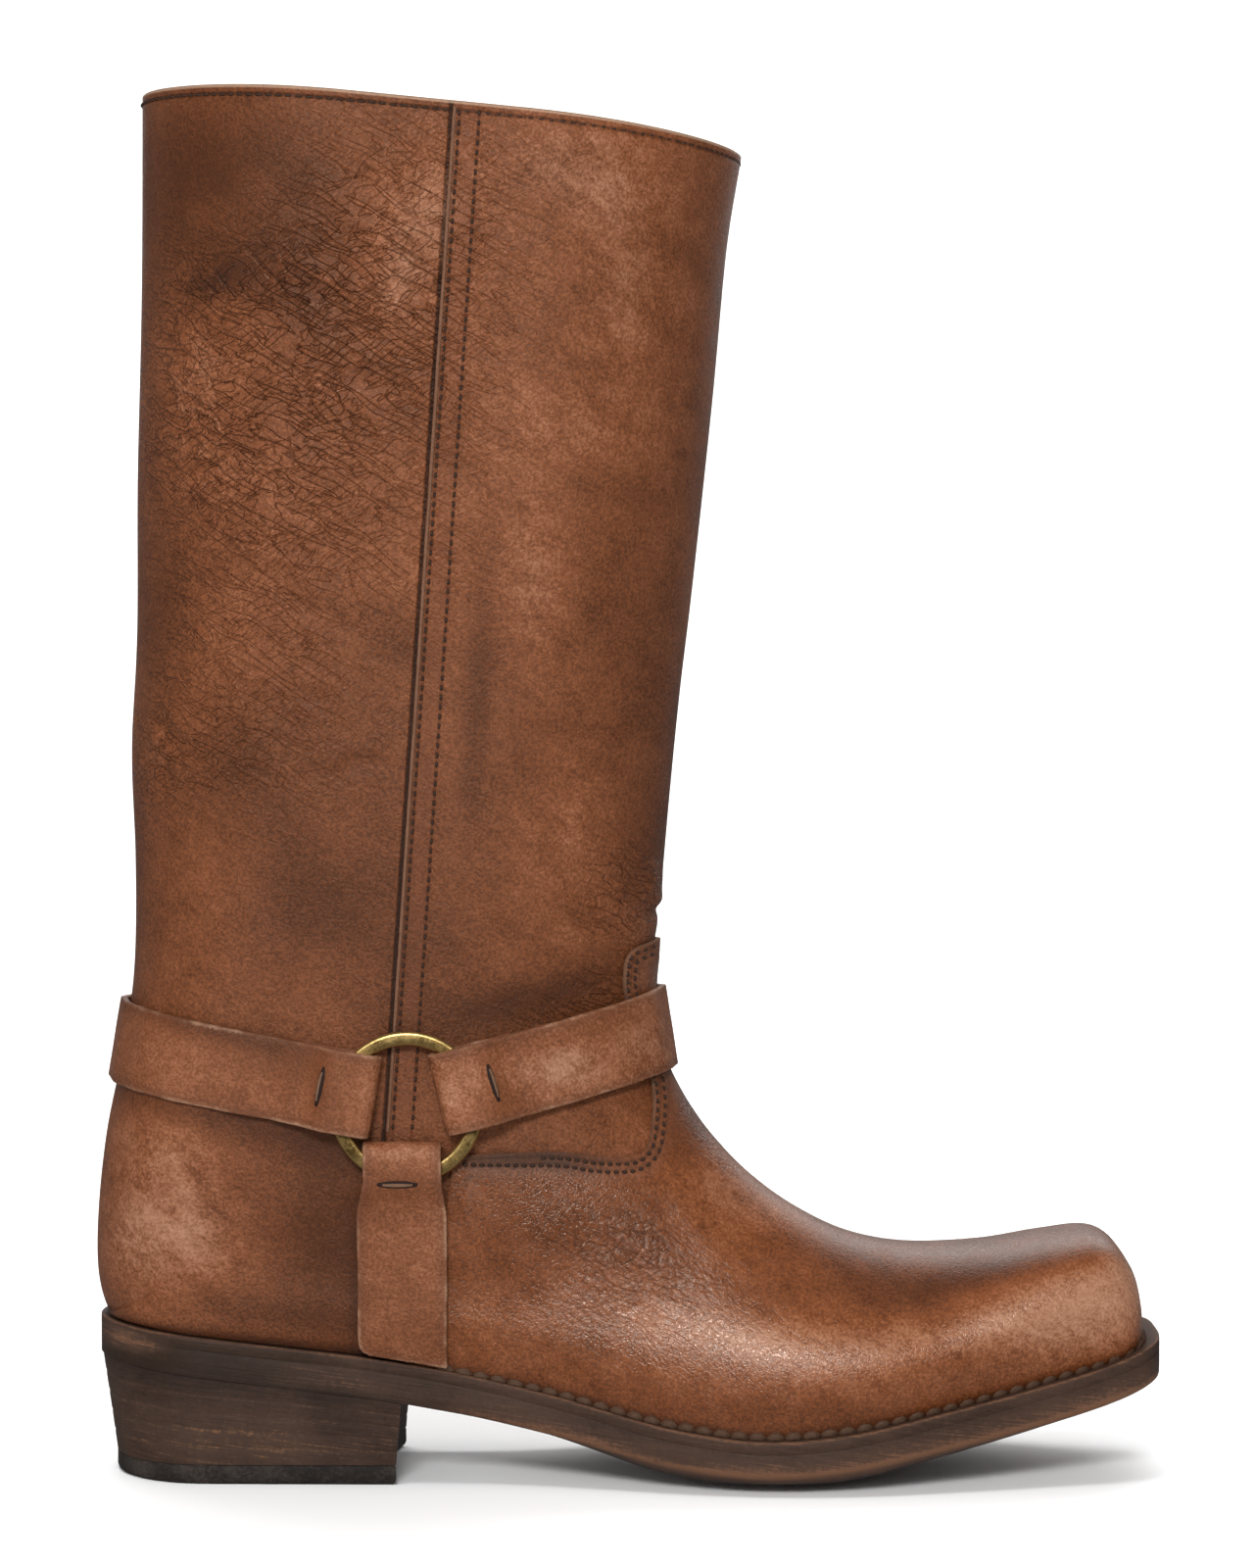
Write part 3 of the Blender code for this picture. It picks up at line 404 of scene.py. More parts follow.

# Smudges and scuffs: place, side, reach, slope and amount, dark below zero
SHAFT_SMUDGES = (
    (38, 328, -1, 34, 24, -10, -0.66),
    (44, 306, -1, 16, 11, -20, -0.45),
    (33, 303, -1, 3.5, 8, -70, -0.55),
    (58, 290, -1, 20, 8, -20, -0.20),
    (52, 272, -1, 22, 8, -18, -0.20),
    (16, 262, -1, 6, 40, 0, -0.28),
    (84, 322, -1, 14, 14, -40, 0.40),
    (78, 302, -1, 10, 12, -40, 0.35),
    (28, 282, -1, 12, 8, -30, 0.25),
    (36, 258, -1, 18, 10, -20, 0.15),
    (76, 236, -1, 14, 12, 0, 0.12),
    (78, 214, -1, 10, 6, -10, -0.40),
    (18, 220, -1, 8, 22, 0, -0.25),
    (60, 196, -1, 18, 14, 30, -0.15),
    (66, 170, -1, 16, 12, 0, 0.12),
    (40, 182, -1, 8, 18, 24, -0.18),
    (46, 162, -1, 42, 32, -10, -0.42),
    (32, 152, -1, 16, 20, -30, 0.30),
    (66, 146, -1, 18, 14, -20, -0.22),
    (84, 136, -1, 10, 12, 0, -0.25),
    (98, 202, -1, 3.6, 34, -4, -0.50),
    (108, 182, -1, 12, 20, 0, -0.25),
    (122, 330, -1, 20, 12, -8, 0.30),
    (134, 300, -1, 14, 26, 0, 0.25),
    (152, 308, -1, 3, 9, 40, -0.35),
    (118, 262, -1, 18, 14, 0, 0.18),
    (128, 252, -1, 18, 5, -10, -0.25),
    (112, 228, -1, 10, 18, 0, 0.30),
    (132, 226, -1, 14, 24, 0, -0.22),
    (140, 196, -1, 12, 20, 0, -0.25),
    (118, 166, -1, 14, 14, 0, 0.25),
    (140, 162, -1, 10, 14, 0, -0.45),
    (112, 124, -1, 26, 6, 12, -0.75),
    (126, 104, -1, 18, 5, 10, -0.35),
    (19, 76, -1, 16, 22, -10, 0.30),
    (12, 58, -1, 12, 14, 0, 0.24),
    (30, 62, -1, 10, 10, 0, 0.22),
    (24, 96, -1, 24, 4, -8, -0.50),
    (54, 88, -1, 22, 6, -12, -0.50),
    (58, 62, -1, 14, 26, 0, -0.55),
    (45, 44, -1, 34, 4, -8, -0.30),
    (70, 50, -1, 5, 26, 0, -0.55),
    (50, 300, 1, 26, 18, -20, -0.40),
    (80, 250, 1, 24, 20, 0, 0.25),
    (30, 230, 1, 14, 30, 0, -0.35),
    (70, 180, 1, 26, 20, 0, -0.30),
    (130, 290, 1, 20, 30, 0, 0.25),
    (128, 200, 1, 14, 40, 0, -0.30),
    (112, 122, 1, 30, 7, 12, -0.60),
    (24, 70, 1, 18, 22, 0, 0.50),
    (58, 70, 1, 16, 22, 0, -0.40),
)
# Smudges of the vamp, in the same columns; some pale ones are partly painted highlight
VAMP_SMUDGES_AND_HIGHLIGHTS = (
    (102, 70, 0, 14, 14, 0, -0.08),
    (110, 84, 0, 30, 3.5, 0, -0.55),
    (126, 62, 0, 22, 14, -20, -0.08),
    (150, 90, 0, 8, 10, -60, -0.30),
    (104, 45, 0, 16, 10, 0, 0.10),
    (150, 66, 0, 10, 20, 40, 0.12),
    (198, 51, 0, 24, 5.5, -24, -0.22),
    (217, 50, 0, 13, 7, 20, -0.24),
    (234, 54, 0, 24, 3.2, 10, -0.45),
    # partly paler rubbed leather, partly painted highlight: these three pale a band along the lower flank
    (146, 44, 0, 26, 6.5, -16, 0.25),
    (176, 38, 0, 24, 6, -8, 0.35),
    (204, 40, 0, 16, 5.5, 18, 0.25),
    # partly paler worn leather, partly painted highlight: these two pale the toe
    (250, 46, 0, 18, 12, 0, 0.56),
    (262, 52, 0, 8, 8, 0, 0.30),
    (246, 60, 0, 16, 3, 0, -0.25),
    (158, 74, 0, 7, 14, 40, 0.22),
    (168, 28, 0, 54, 5, -4, 0.12),
    (172, 66, 0, 11, 5, -28, 0.24),
    (170, 22, 0, 60, 4, 0, -0.15),
    # partly paler leather, partly painted highlight on the lower side of the toe
    (226, 41, 0, 18, 6, 8, 0.50),
)

# Where the leather is crackled or pebbled, from 0 to 1: place, side, reach, slope, amount
CRACKLE = (
    (76, 308, -1, 22, 26, -40, 1),
    (52, 286, -1, 40, 20, -20, 0.9),
    (34, 264, -1, 30, 18, -20, 0.9),
    (56, 246, -1, 34, 18, -20, 0.45),
    (40, 218, -1, 26, 16, -34, 0.45),
    (36, 192, -1, 26, 16, -30, 0.30),
    (18, 184, 0, 12, 16, -30, 0.5),
    (140, 148, 0, 14, 14, -20, 0.6),
    (134, 60, 0, 18, 11, -40, 0.7),
    (160, 84, 0, 8, 12, 40, 0.3),
    (128, 122, 0, 18, 8, 10, 0.4),
    (54, 284, 1, 44, 30, -20, 0.9),
    (46, 240, 1, 36, 24, -26, 0.6),
)
PEBBLE = (
    (128, 51, 0, 16, 9, 20, 0.7),
    (139, 61, 0, 14, 12, 45, 1),
    (150, 51, 0, 14, 8, -20, 0.6),
    (206, 44, 0, 12, 6, 0, 0.15),
    (212, 60, 0, 20, 5, -10, 0.1),
)

# Where the sole and the heel are rubbed back to tan: place, side, reach, slope, amount
SOLE_WEAR = (
    (30, 30, 0, 46, 7, -8, -0.45),
    (8, 35.5, 0, 11, 2.4, -6, 1.15),
    (58, 28, 0, 18, 2.6, -8, 0.85),
    (72, 26, 0, 12, 2, 0, 0.35),
    (28, 12, 0, 12, 3, 0, 0.20),
    (52, 10, 0, 16, 2.5, 0, 0.22),
    (120, 15, 0, 20, 2, -18, 0.35),
    (200, 8, 0, 40, 2.4, 12, 0.60),
    (160, 6, 0, 30, 2.4, 0, 0.45),
    (250, 20, 0, 20, 3, 20, 0.40),
)

# Smudges of the straps: place, side, reach, slope and amount
STRAP_SMUDGES = (
    (34, 110, 0, 34, 20, -12, -0.25),
    (126, 106, 0, 30, 20, 12, 0.12),
    (16, 122, 0, 20, 3, -12, -0.30),
    (40, 114, 0, 24, 3, -12, -0.45),
    (60, 100, 0, 3, 10, 10, -0.40),
    (20, 108, 0, 10, 6, -30, 0.30),
    (50, 108, 0, 8, 5, -30, -0.35),
    (104, 98, 0, 8, 4, 30, -0.30),
    (120, 108, 0, 6, 8, 60, 0.30),
    (38, 104, 0, 16, 6, -14, 0.22),
    (70, 100, 0, 6, 10, 10, 0.25),
    (92, 102, 0, 6, 10, -10, 0.30),
    (112, 104, 0, 14, 7, 12, 0.20),
    (142, 112, 0, 8, 12, 10, 0.18),
    (128, 116, 0, 16, 3, 12, -0.30),
    (80, 86, 0, 10, 3, 0, 0.35),
    (80, 78, 0, 12, 3, 0, -0.30),
    (80, 62, 0, 8, 12, 0, 0.05),
    (84, 40, 0, 8, 6, 0, -0.30),
)

# Bar stitches: strap, middle in the side view, length, slope
BARS = (
    ("strap_back", 58.4, 102.5, 10.2, 78.0),
    ("strap_front", 101.6, 103.4, 10.6, 107.0),
    ("strap_under", 77.7, 78.0, 10.0, 0.0),
)

# Lines pressed or sewn into the leather: place kept at the points, middle, half width, depth, darkness
SHAFT_MARKS = (
    ("seam", -0.9, 0.9, 0.35, 0.45),
    ("seam", SEAM_ROWS[0], 0.6, 0.20, 0.10),
    ("seam", SEAM_ROWS[1], 0.55, 0.18, 0.07),
    ("collar", COLLAR_ROW, 0.8, 0.25, 0.20),
)
VAMP_MARKS = (
    ("edge", VAMP_ROWS[0], 0.6, 0.10, 0.07),
    ("edge", VAMP_ROWS[1], 0.6, 0.10, 0.07),
)

# Strips of another colour: place kept at the points, where they start and end, share, colour
SHAFT_STRIPS = (
    ("seam", SEAM_ROWS[0] - 0.8, SEAM_ROWS[1] + 0.8, 0.25, (0.120, 0.038, 0.018)),
    ("collar", -1.0, 0.7, 0.75, (0.330, 0.210, 0.140)),
)
STRIP_EDGE = 0.5

# Crackle: level of the waves at a line, half widths, share of short lines, height and lightness; the
# lightness is painted shade in the crack lines and painted highlight on the ridge beside each
CRACKLE_LINES = (
    (0.5, 0.019, 0.022, 0.7, -0.50, -0.10),
    (0.565, 0.04, 0.04, 0.5, 0.34, 0.10),
)
CRACKLE_EVERYWHERE = 0.10
CRACKLE_LIGHT = 0.02
PEBBLE_DEPTH = 0.32
# painted shade in the valleys between pebbles
PEBBLE_VALLEY_SHADE = 0.12
PEBBLE_DULL = 0.14

# Colours of the leather, from dark to light: value, colour
LEATHER_BAND = (
    (0.00, (0.020, 0.008, 0.005)),
    (0.25, (0.062, 0.019, 0.007)),
    (0.50, (0.150, 0.048, 0.018)),
    (0.75, (0.262, 0.106, 0.054)),
    (1.00, (0.430, 0.250, 0.172)),
)
# pale colour of scuffed leather, also mixed into the vamp's flank and toe as painted highlight
SCUFF_AND_SHEEN = (0.300, 0.165, 0.105)
WAXED = (1.0, 0.88, 0.77)
EDGE_STAIN = (0.060, 0.022, 0.012)
EDGE_FIBRE = (0.270, 0.150, 0.092)
FIBRE = 0.7               # how far a cut edge's fibres reach in

# Studio: place, aim, size in metres and power of each light, and the camera
WORLD_LIGHT = 0.17
# Columns: name, place, aim, size, watts, mirrored
LIGHTS = (
    ("key_right", (0.50, -1.70, 1.10), (0.0, 0.0, 0.16), (1.0, 1.0), 6.0, False),
    ("rake_top", (-0.25, -0.46, 1.60), (-0.04, -0.04, 0.22), (0.40, 0.25), 6.5, False),
    ("gloss_front", (-0.17, -1.44, 0.79), (0.03, -0.04, 0.04), (0.44, 0.26), 19.0, True),
    ("fill_left", (-1.20, -1.40, 0.60), (0.0, 0.0, 0.16), (1.0, 1.0), 5.5, False),
    ("top", (0.10, 0.05, 1.65), (0.0, 0.0, 0.1), (1.0, 0.7), 8.0, False),
    ("rim_back", (0.10, 1.10, 0.72), (0.05, 0.0, 0.05), (1.4, 0.8), 4.5, True),
    ("backdrop", (0.0, 1.30, 2.5), (0.0, 2.9, 0.4), (3.0, 1.0), 85.0, False),
)
CAMERA_PLACE = (-0.00008, -1.2, 0.2269)
CAMERA_LENS = 107.1
CAMERA_DOWN = 2.41


def curve(keys, at):
    """Smooth curve through rows of (place, value, value...), read at the places given."""
    keys = np.asarray(keys, float)
    place = keys[:, 0]
    value = keys[:, 1:]
    step = np.diff(place)[:, None]
    rise = np.diff(value, axis=0) / step
    inside = (rise[:-1] * step[1:] + rise[1:] * step[:-1]) / (step[:-1] + step[1:])
    slope = np.vstack((rise[:1], inside, rise[-1:]))
    at = np.clip(np.asarray(at, float), place[0], place[-1])
    i = np.clip(np.searchsorted(place, at, side="right") - 1, 0, len(place) - 2)
    t = ((at - place[i]) / step[i, 0])[..., None]
    h = step[i]
    return ((2 * t**3 - 3 * t**2 + 1) * value[i] + (t**3 - 2 * t**2 + t) * h * slope[i]
            + (3 * t**2 - 2 * t**3) * value[i + 1] + (t**3 - t**2) * h * slope[i + 1])


def ease(t):
    """Smooth step from 0 to 1."""
    t = np.clip(t, 0.0, 1.0)
    return t * t * (3 - 2 * t)


def feather(x):
    """Height of the welt's top at x."""
    return curve(SOLE, x)[..., 0]


def overhang(x):
    """How far the welt stands out past the feather outline at x."""
    return curve(OVERHANG, x)[..., 0]


def half_width(x, side, margin=0.0):
    """Half width of the feather outline at x, grown by a margin; side 0 is outer, 1 inner."""
    x = np.asarray(x, float)
    heel = np.sqrt(np.clip((HEEL_RADIUS + margin) ** 2 - (HEEL_CENTRE - x) ** 2, 0, None))
    flank = curve(OUTLINE, x)[..., side] + margin
    reach = np.clip((x - TOE_START) / (TOE_DEPTH + margin), 0, 1)
    end = curve(OUTLINE, TOE_START)[side]
    before = curve(OUTLINE, TOE_START - 1.0)[side]
    taper = end + margin + (end - before) * np.maximum(x - TOE_START, 0)
    toe = taper * (1 - reach**TOE_SQUARE) ** (1 / TOE_SQUARE)
    return np.where(x < HEEL_CENTRE, heel, np.where(x > TOE_START, toe, flank))


def stations(heel_margin, toe_margin, steps):
    """Places along the foot, closer together where the heel and the toe turn."""
    heel_turn = np.radians(np.linspace(*HEEL_TURN))
    toe_turn = np.radians(np.linspace(*TOE_TURN))
    heel = HEEL_CENTRE - (HEEL_RADIUS + heel_margin) * np.cos(heel_turn)
    side = np.linspace(HEEL_CENTRE, TOE_START, steps)
    toe = TOE_START + (TOE_DEPTH + toe_margin) * np.sin(toe_turn) ** (2 / TOE_SQUARE)
    return np.concatenate((heel, side, toe))


def section_keys():
    """The section table with its place, and with the feather line's height where the foot is open."""
    keys = np.array([(i, *row) for i, row in enumerate(SECTIONS)], float)
    back_x, back_z = (1 + SECTION_COLUMNS.index(name) for name in ("back_x", "back_z"))
    keys[:HEEL_SHUTS, back_z] = feather(keys[:HEEL_SHUTS, back_x]) + GAP
    return keys


KEYS = section_keys()


def run_of(line):
    """Length along a line at each of its points."""
    return np.concatenate(((0.0,), np.cumsum(np.linalg.norm(np.diff(line, axis=0), axis=1))))


def read_line(line, run, at):
    """Points of a line at the lengths given."""
    return np.stack([np.interp(at, run, column) for column in line.T], axis=1)


def half_section(k, side, count):
    """Points of one half of a section, evenly spaced from its high point to its low end."""
    row = dict(zip(SECTION_COLUMNS, curve(KEYS, k)))
    foot = 0.0
    if k < HEEL_SHUTS:
        row["back_z"] = float(feather(row["back_x"])) + GAP
        foot = float(half_width(row["back_x"], side))
    v = 0.5 - 0.5 * np.cos(np.linspace(0, math.pi, SECTION_STEPS))
    wide = row["inner"] if side else row["outer"]
    low = row["low"]
    high = row["high"]
    s = np.clip(v / low, 0, 1)
    lower = (1 - row["wrap"]) * np.sin(s * math.pi / 2) + row["wrap"] * np.sqrt(1 - (1 - s) ** 2)
    t = np.clip((v - high) / (1 - high), 0, 1)
    upper = (1 - t ** row["round"]) ** (1 / row["round"])
    settled = high if row["shoulder"] >= 1 else max(high, DRAWN_IN)
    middle = 1 + (row["shoulder"] - 1) * ease((v - low) / (settled - low))
    width = np.where(v < low, foot + (wide - foot) * lower, wide * middle * upper)
    x = row["back_x"] + v * (row["front_x"] - row["back_x"])
    z = row["back_z"] + v * (row["front_z"] - row["back_z"])
    if k == 0:
        width = half_width(x, side)
        z = feather(x) + GAP
    rise = max(k - (len(SECTIONS) - 2), 0.0)
    z = z + COLLAR_ARCH * rise * (width / wide) ** 2
    line = np.stack((x, width if side else -width, z), axis=1)[::-1]
    run = run_of(line)
    return read_line(line, run, np.linspace(0, run[-1], count + 1))


def skin(foot_rows, shaft_rows, top):
    """The boot's skin up to a section: points, grid of their numbers, faces and outward directions.

    Rows that shut at the back share an end.
    """
    foot = np.linspace(0, HEEL_SHUTS, foot_rows + 1)
    shaft = np.linspace(HEEL_SHUTS, top, shaft_rows + 1)[1:]
    points = []
    index = []
    start = 0
    for k in (*foot, *shaft):
        row = np.concatenate((half_section(k, 0, HALF_STEPS)[::-1], half_section(k, 1, HALF_STEPS)[1:]))
        numbers = start + np.arange(len(row))
        if k >= HEEL_SHUTS:
            row = row[:-1]
            numbers[-1] = start
        points.append(row)
        index.append(numbers)
        start += len(row)
    points = np.concatenate(points)
    index = np.array(index)
    faces = tidy_faces(grid_faces(index))
    return points, index, faces, normals_of(points, faces)


def grid_faces(index):
    """Four-cornered faces between the rows of a grid of point numbers."""
    a, b, c, d = index[:-1, :-1], index[:-1, 1:], index[1:, 1:], index[1:, :-1]
    return np.stack((a, b, c, d), axis=-1).reshape(-1, 4)


def tidy_faces(faces):
    """Faces with doubled corners reduced, and those of fewer than three corners left out."""
    kept = []
    for face in faces:
        face = [int(n) for n in face]
        face = [n for i, n in enumerate(face) if n != face[i - 1]]
        if len(set(face)) > 2:
            kept.append(tuple(face))
    return kept


def wrapped(rows, size):
    """Grid of point numbers for closed loops, each back at its start."""
    index = np.arange(rows * size).reshape(rows, size)
    return np.concatenate((index, index[:, :1]), axis=1)


def body_faces(rows, size):
    """Faces of a body through closed loops, both ends shut."""
    index = wrapped(rows, size)
    return tidy_faces(grid_faces(index)) + [tuple(index[0, :-1][::-1]), tuple(index[-1, :-1])]


def ring_faces(rows, size):
    """Faces of a body of closed loops that closes on itself."""
    index = wrapped(rows, size)
    return tidy_faces(grid_faces(np.concatenate((index, index[:1]))))


def mesh_object(name, points, faces, materials, slots=None, smooth=40.0, face_out=True):
    """An object from points in millimetres, smooth except over sharp edges."""
    mesh = bpy.data.meshes.new(name)
    places = (np.asarray(points, float) - SHIFT) * MM
    mesh.from_pydata([tuple(p) for p in places], [], [tuple(map(int, f)) for f in faces])
    if face_out:
        work = bmesh.new()
        work.from_mesh(mesh)
        bmesh.ops.recalc_face_normals(work, faces=work.faces)
        work.to_mesh(mesh)
        work.free()
    for material in materials:
        mesh.materials.append(material)
    if slots is not None:
        mesh.polygons.foreach_set("material_index", np.asarray(slots, np.int32))
    return shown(name, mesh, smooth)


def shown(name, mesh, smooth):
    """A mesh shaded and put in the scene as an object."""
    mesh.shade_smooth()
    if smooth:
        mesh.set_sharp_from_angle(angle=math.radians(smooth))
    item = bpy.data.objects.new(name, mesh)
    bpy.context.scene.collection.objects.link(item)
    return item


def points_of(mesh):
    """Points of a mesh in millimetres from the frame's zero."""
    places = np.empty(len(mesh.vertices) * 3)
    mesh.vertices.foreach_get("co", places)
    return places.reshape(-1, 3) / MM


def unit(vectors):
    """Vectors made one long."""
    return vectors / np.linalg.norm(vectors, axis=-1, keepdims=True)


def normals_of(points, faces):
    """Outward directions at the points of a sheet."""
    mesh = bpy.data.meshes.new("sheet")
    mesh.from_pydata([tuple(p) for p in points], [], faces)
    out = np.empty(len(points) * 3)
    mesh.vertices.foreach_get("normal", out)
    bpy.data.meshes.remove(mesh)
    return out.reshape(-1, 3)


def store(item, name, values, rest=0.0):
    """Keep a number at each point of a mesh, for its material to read; the rest goes to later points."""
    filled = np.full(len(item.data.vertices), rest, np.float32)
    filled[:len(values)] = values
    item.data.attributes.new(name, "FLOAT", "POINT").data.foreach_set("value", filled)


def store_leather(item, points, smudges):
    """Keep where leather is smudged, crackled and pebbled, with painted shade just above the welt."""
    # painted shade: a dark line on the leather in the groove just above the welt
    above = (points[:, 2] - feather(points[:, 0])) / WELT_SHADE_HEIGHT
    store(item, "tone", blobs(points, smudges) + WELT_SHADE_DARK * np.exp(-(above**2)))
    store(item, "crackle", np.clip(blobs(points, CRACKLE), 0, 1))
    store(item, "pebble", np.clip(blobs(points, PEBBLE), 0, 1))


def on_side(points, side):
    """How much a feature of one side shows at each point: 1 there, 0 on the other side."""
    return 1.0 if side == 0 else ease(0.5 + side * points[:, 1] / SIDE_BLEND)


def sloped(points, x, z, slope):
    """How far points are along and across a sloping line through a side-view place."""
    turn = math.radians(slope)
    dx = points[:, 0] - x
    dz = points[:, 2] - z
    return dx * math.cos(turn) + dz * math.sin(turn), dz * math.cos(turn) - dx * math.sin(turn)


def blobs(points, rows):
    """Sum of soft patches given by place, side, reach, slope and amount."""
    total = np.zeros(len(points))
    for x, z, side, reach_x, reach_z, slope, amount in rows:
        along, across = sloped(points, x, z, slope)
        total += amount * np.exp(-((along / reach_x) ** 2 + (across / reach_z) ** 2)) * on_side(points, side)
    return total


def creases(points, rows):
    """Height of soft troughs, each with a ridge on its upper side."""
    total = np.zeros(len(points))
    for x, z, side, length, slope, bow, width, depth in rows:
        along, across = sloped(points, x, z, slope)
        along = along / (length / 2)
        across = across + bow * (along**2 - 0.5)
        for (size, waves), start in zip(CREASE_WAVES, (x, z)):
            across = across + size * np.sin(waves * along + start)
        fade = np.where(np.abs(along) < 1, np.cos(np.clip(along, -1, 1) * math.pi / 2) ** 2, 0.0)
        trough = np.exp(-(across / width) ** 2)
        ridge = np.exp(-((across - RIDGE_PLACE * width) / (RIDGE_WIDTH * width)) ** 2)
        total += depth * fade * (RIDGE_SHARE * ridge - trough) * on_side(points, side)
    return total


def seam_line(z):
    """x of the side seam at a height."""
    return SEAM_LOW[0] + (SEAM_TOP[0] - SEAM_LOW[0]) * (z - SEAM_LOW[1]) / (SEAM_TOP[1] - SEAM_LOW[1])


def rounded(corners):
    """Open side-view line with each corner of (x, z, radius) rounded off."""
    corners = np.array(corners, float)
    places = corners[:, :2]
    line = [places[0]]
    for i in range(1, len(corners) - 1):
        middle = places[i]
        back = places[i - 1] - middle
        ahead = places[i + 1] - middle
        back_length = np.linalg.norm(back)
        ahead_length = np.linalg.norm(ahead)
        reach = min(corners[i, 2], CORNER_SHARE * back_length, CORNER_SHARE * ahead_length)
        a = middle + back / back_length * reach
        b = middle + ahead / ahead_length * reach
        for t in np.linspace(0, 1, CORNER_STEPS) if reach > 0 else (0.5,):
            line.append((1 - t) ** 2 * a + 2 * t * (1 - t) * middle + t**2 * b)
    return np.array(line + [places[-1]])


VAMP_LINE = rounded(((VAMP[0][0], 0.0, 0.0),) + VAMP)


def vamp_inside(points):
    """Distance inside the vamp's edge in the side view; negative outside it."""
    p = np.asarray(points)[:, (0, 2)]
    best = np.full(len(p), np.inf)
    inside = np.zeros(len(p), bool)
    loop = np.vstack((VAMP_LINE, ((VAMP[-1][0], 0.0),)))
    for i, (a, b) in enumerate(zip(loop, np.roll(loop, -1, axis=0))):
        cross = (a[1] > p[:, 1]) != (b[1] > p[:, 1])
        at = a[0] + (p[:, 1] - a[1]) * (b[0] - a[0]) / (TINY if b[1] == a[1] else b[1] - a[1])
        inside ^= cross & (p[:, 0] < at)
        if i < len(VAMP_LINE) - 1:
            t = np.clip(((p - a) @ (b - a)) / max((b - a) @ (b - a), TINY), 0, 1)
            best = np.minimum(best, np.linalg.norm(p - a - t[:, None] * (b - a), axis=1))
    return np.where(inside, best, -best)


def clip_sheet(points, extra, faces, level):
    """The part of a sheet where level is above zero, its border cut cleanly; extra rides along."""
    points = list(points)
    extra = list(extra)
    made = {}
    kept = []

    def cut(i, j):
        key = (min(i, j), max(i, j))
        if key not in made:
            t = level[i] / (level[i] - level[j])
            made[key] = len(points)
            points.append(points[i] + t * (points[j] - points[i]))
            extra.append(extra[i] + t * (extra[j] - extra[i]))
        return made[key]

    for face in faces:
        corners = []
        for n, m in zip(face, face[1:] + face[:1]):
            if level[n] > 0:
                corners.append(n)
            if (level[n] > 0) != (level[m] > 0):
                corners.append(cut(n, m))
        if len(corners) > 2:
            kept.append(tuple(corners))
    used = sorted({n for face in kept for n in face})
    new = {n: i for i, n in enumerate(used)}
    faces = [tuple(new[n] for n in face) for face in kept]
    return np.array([points[n] for n in used]), np.array([extra[n] for n in used]), faces


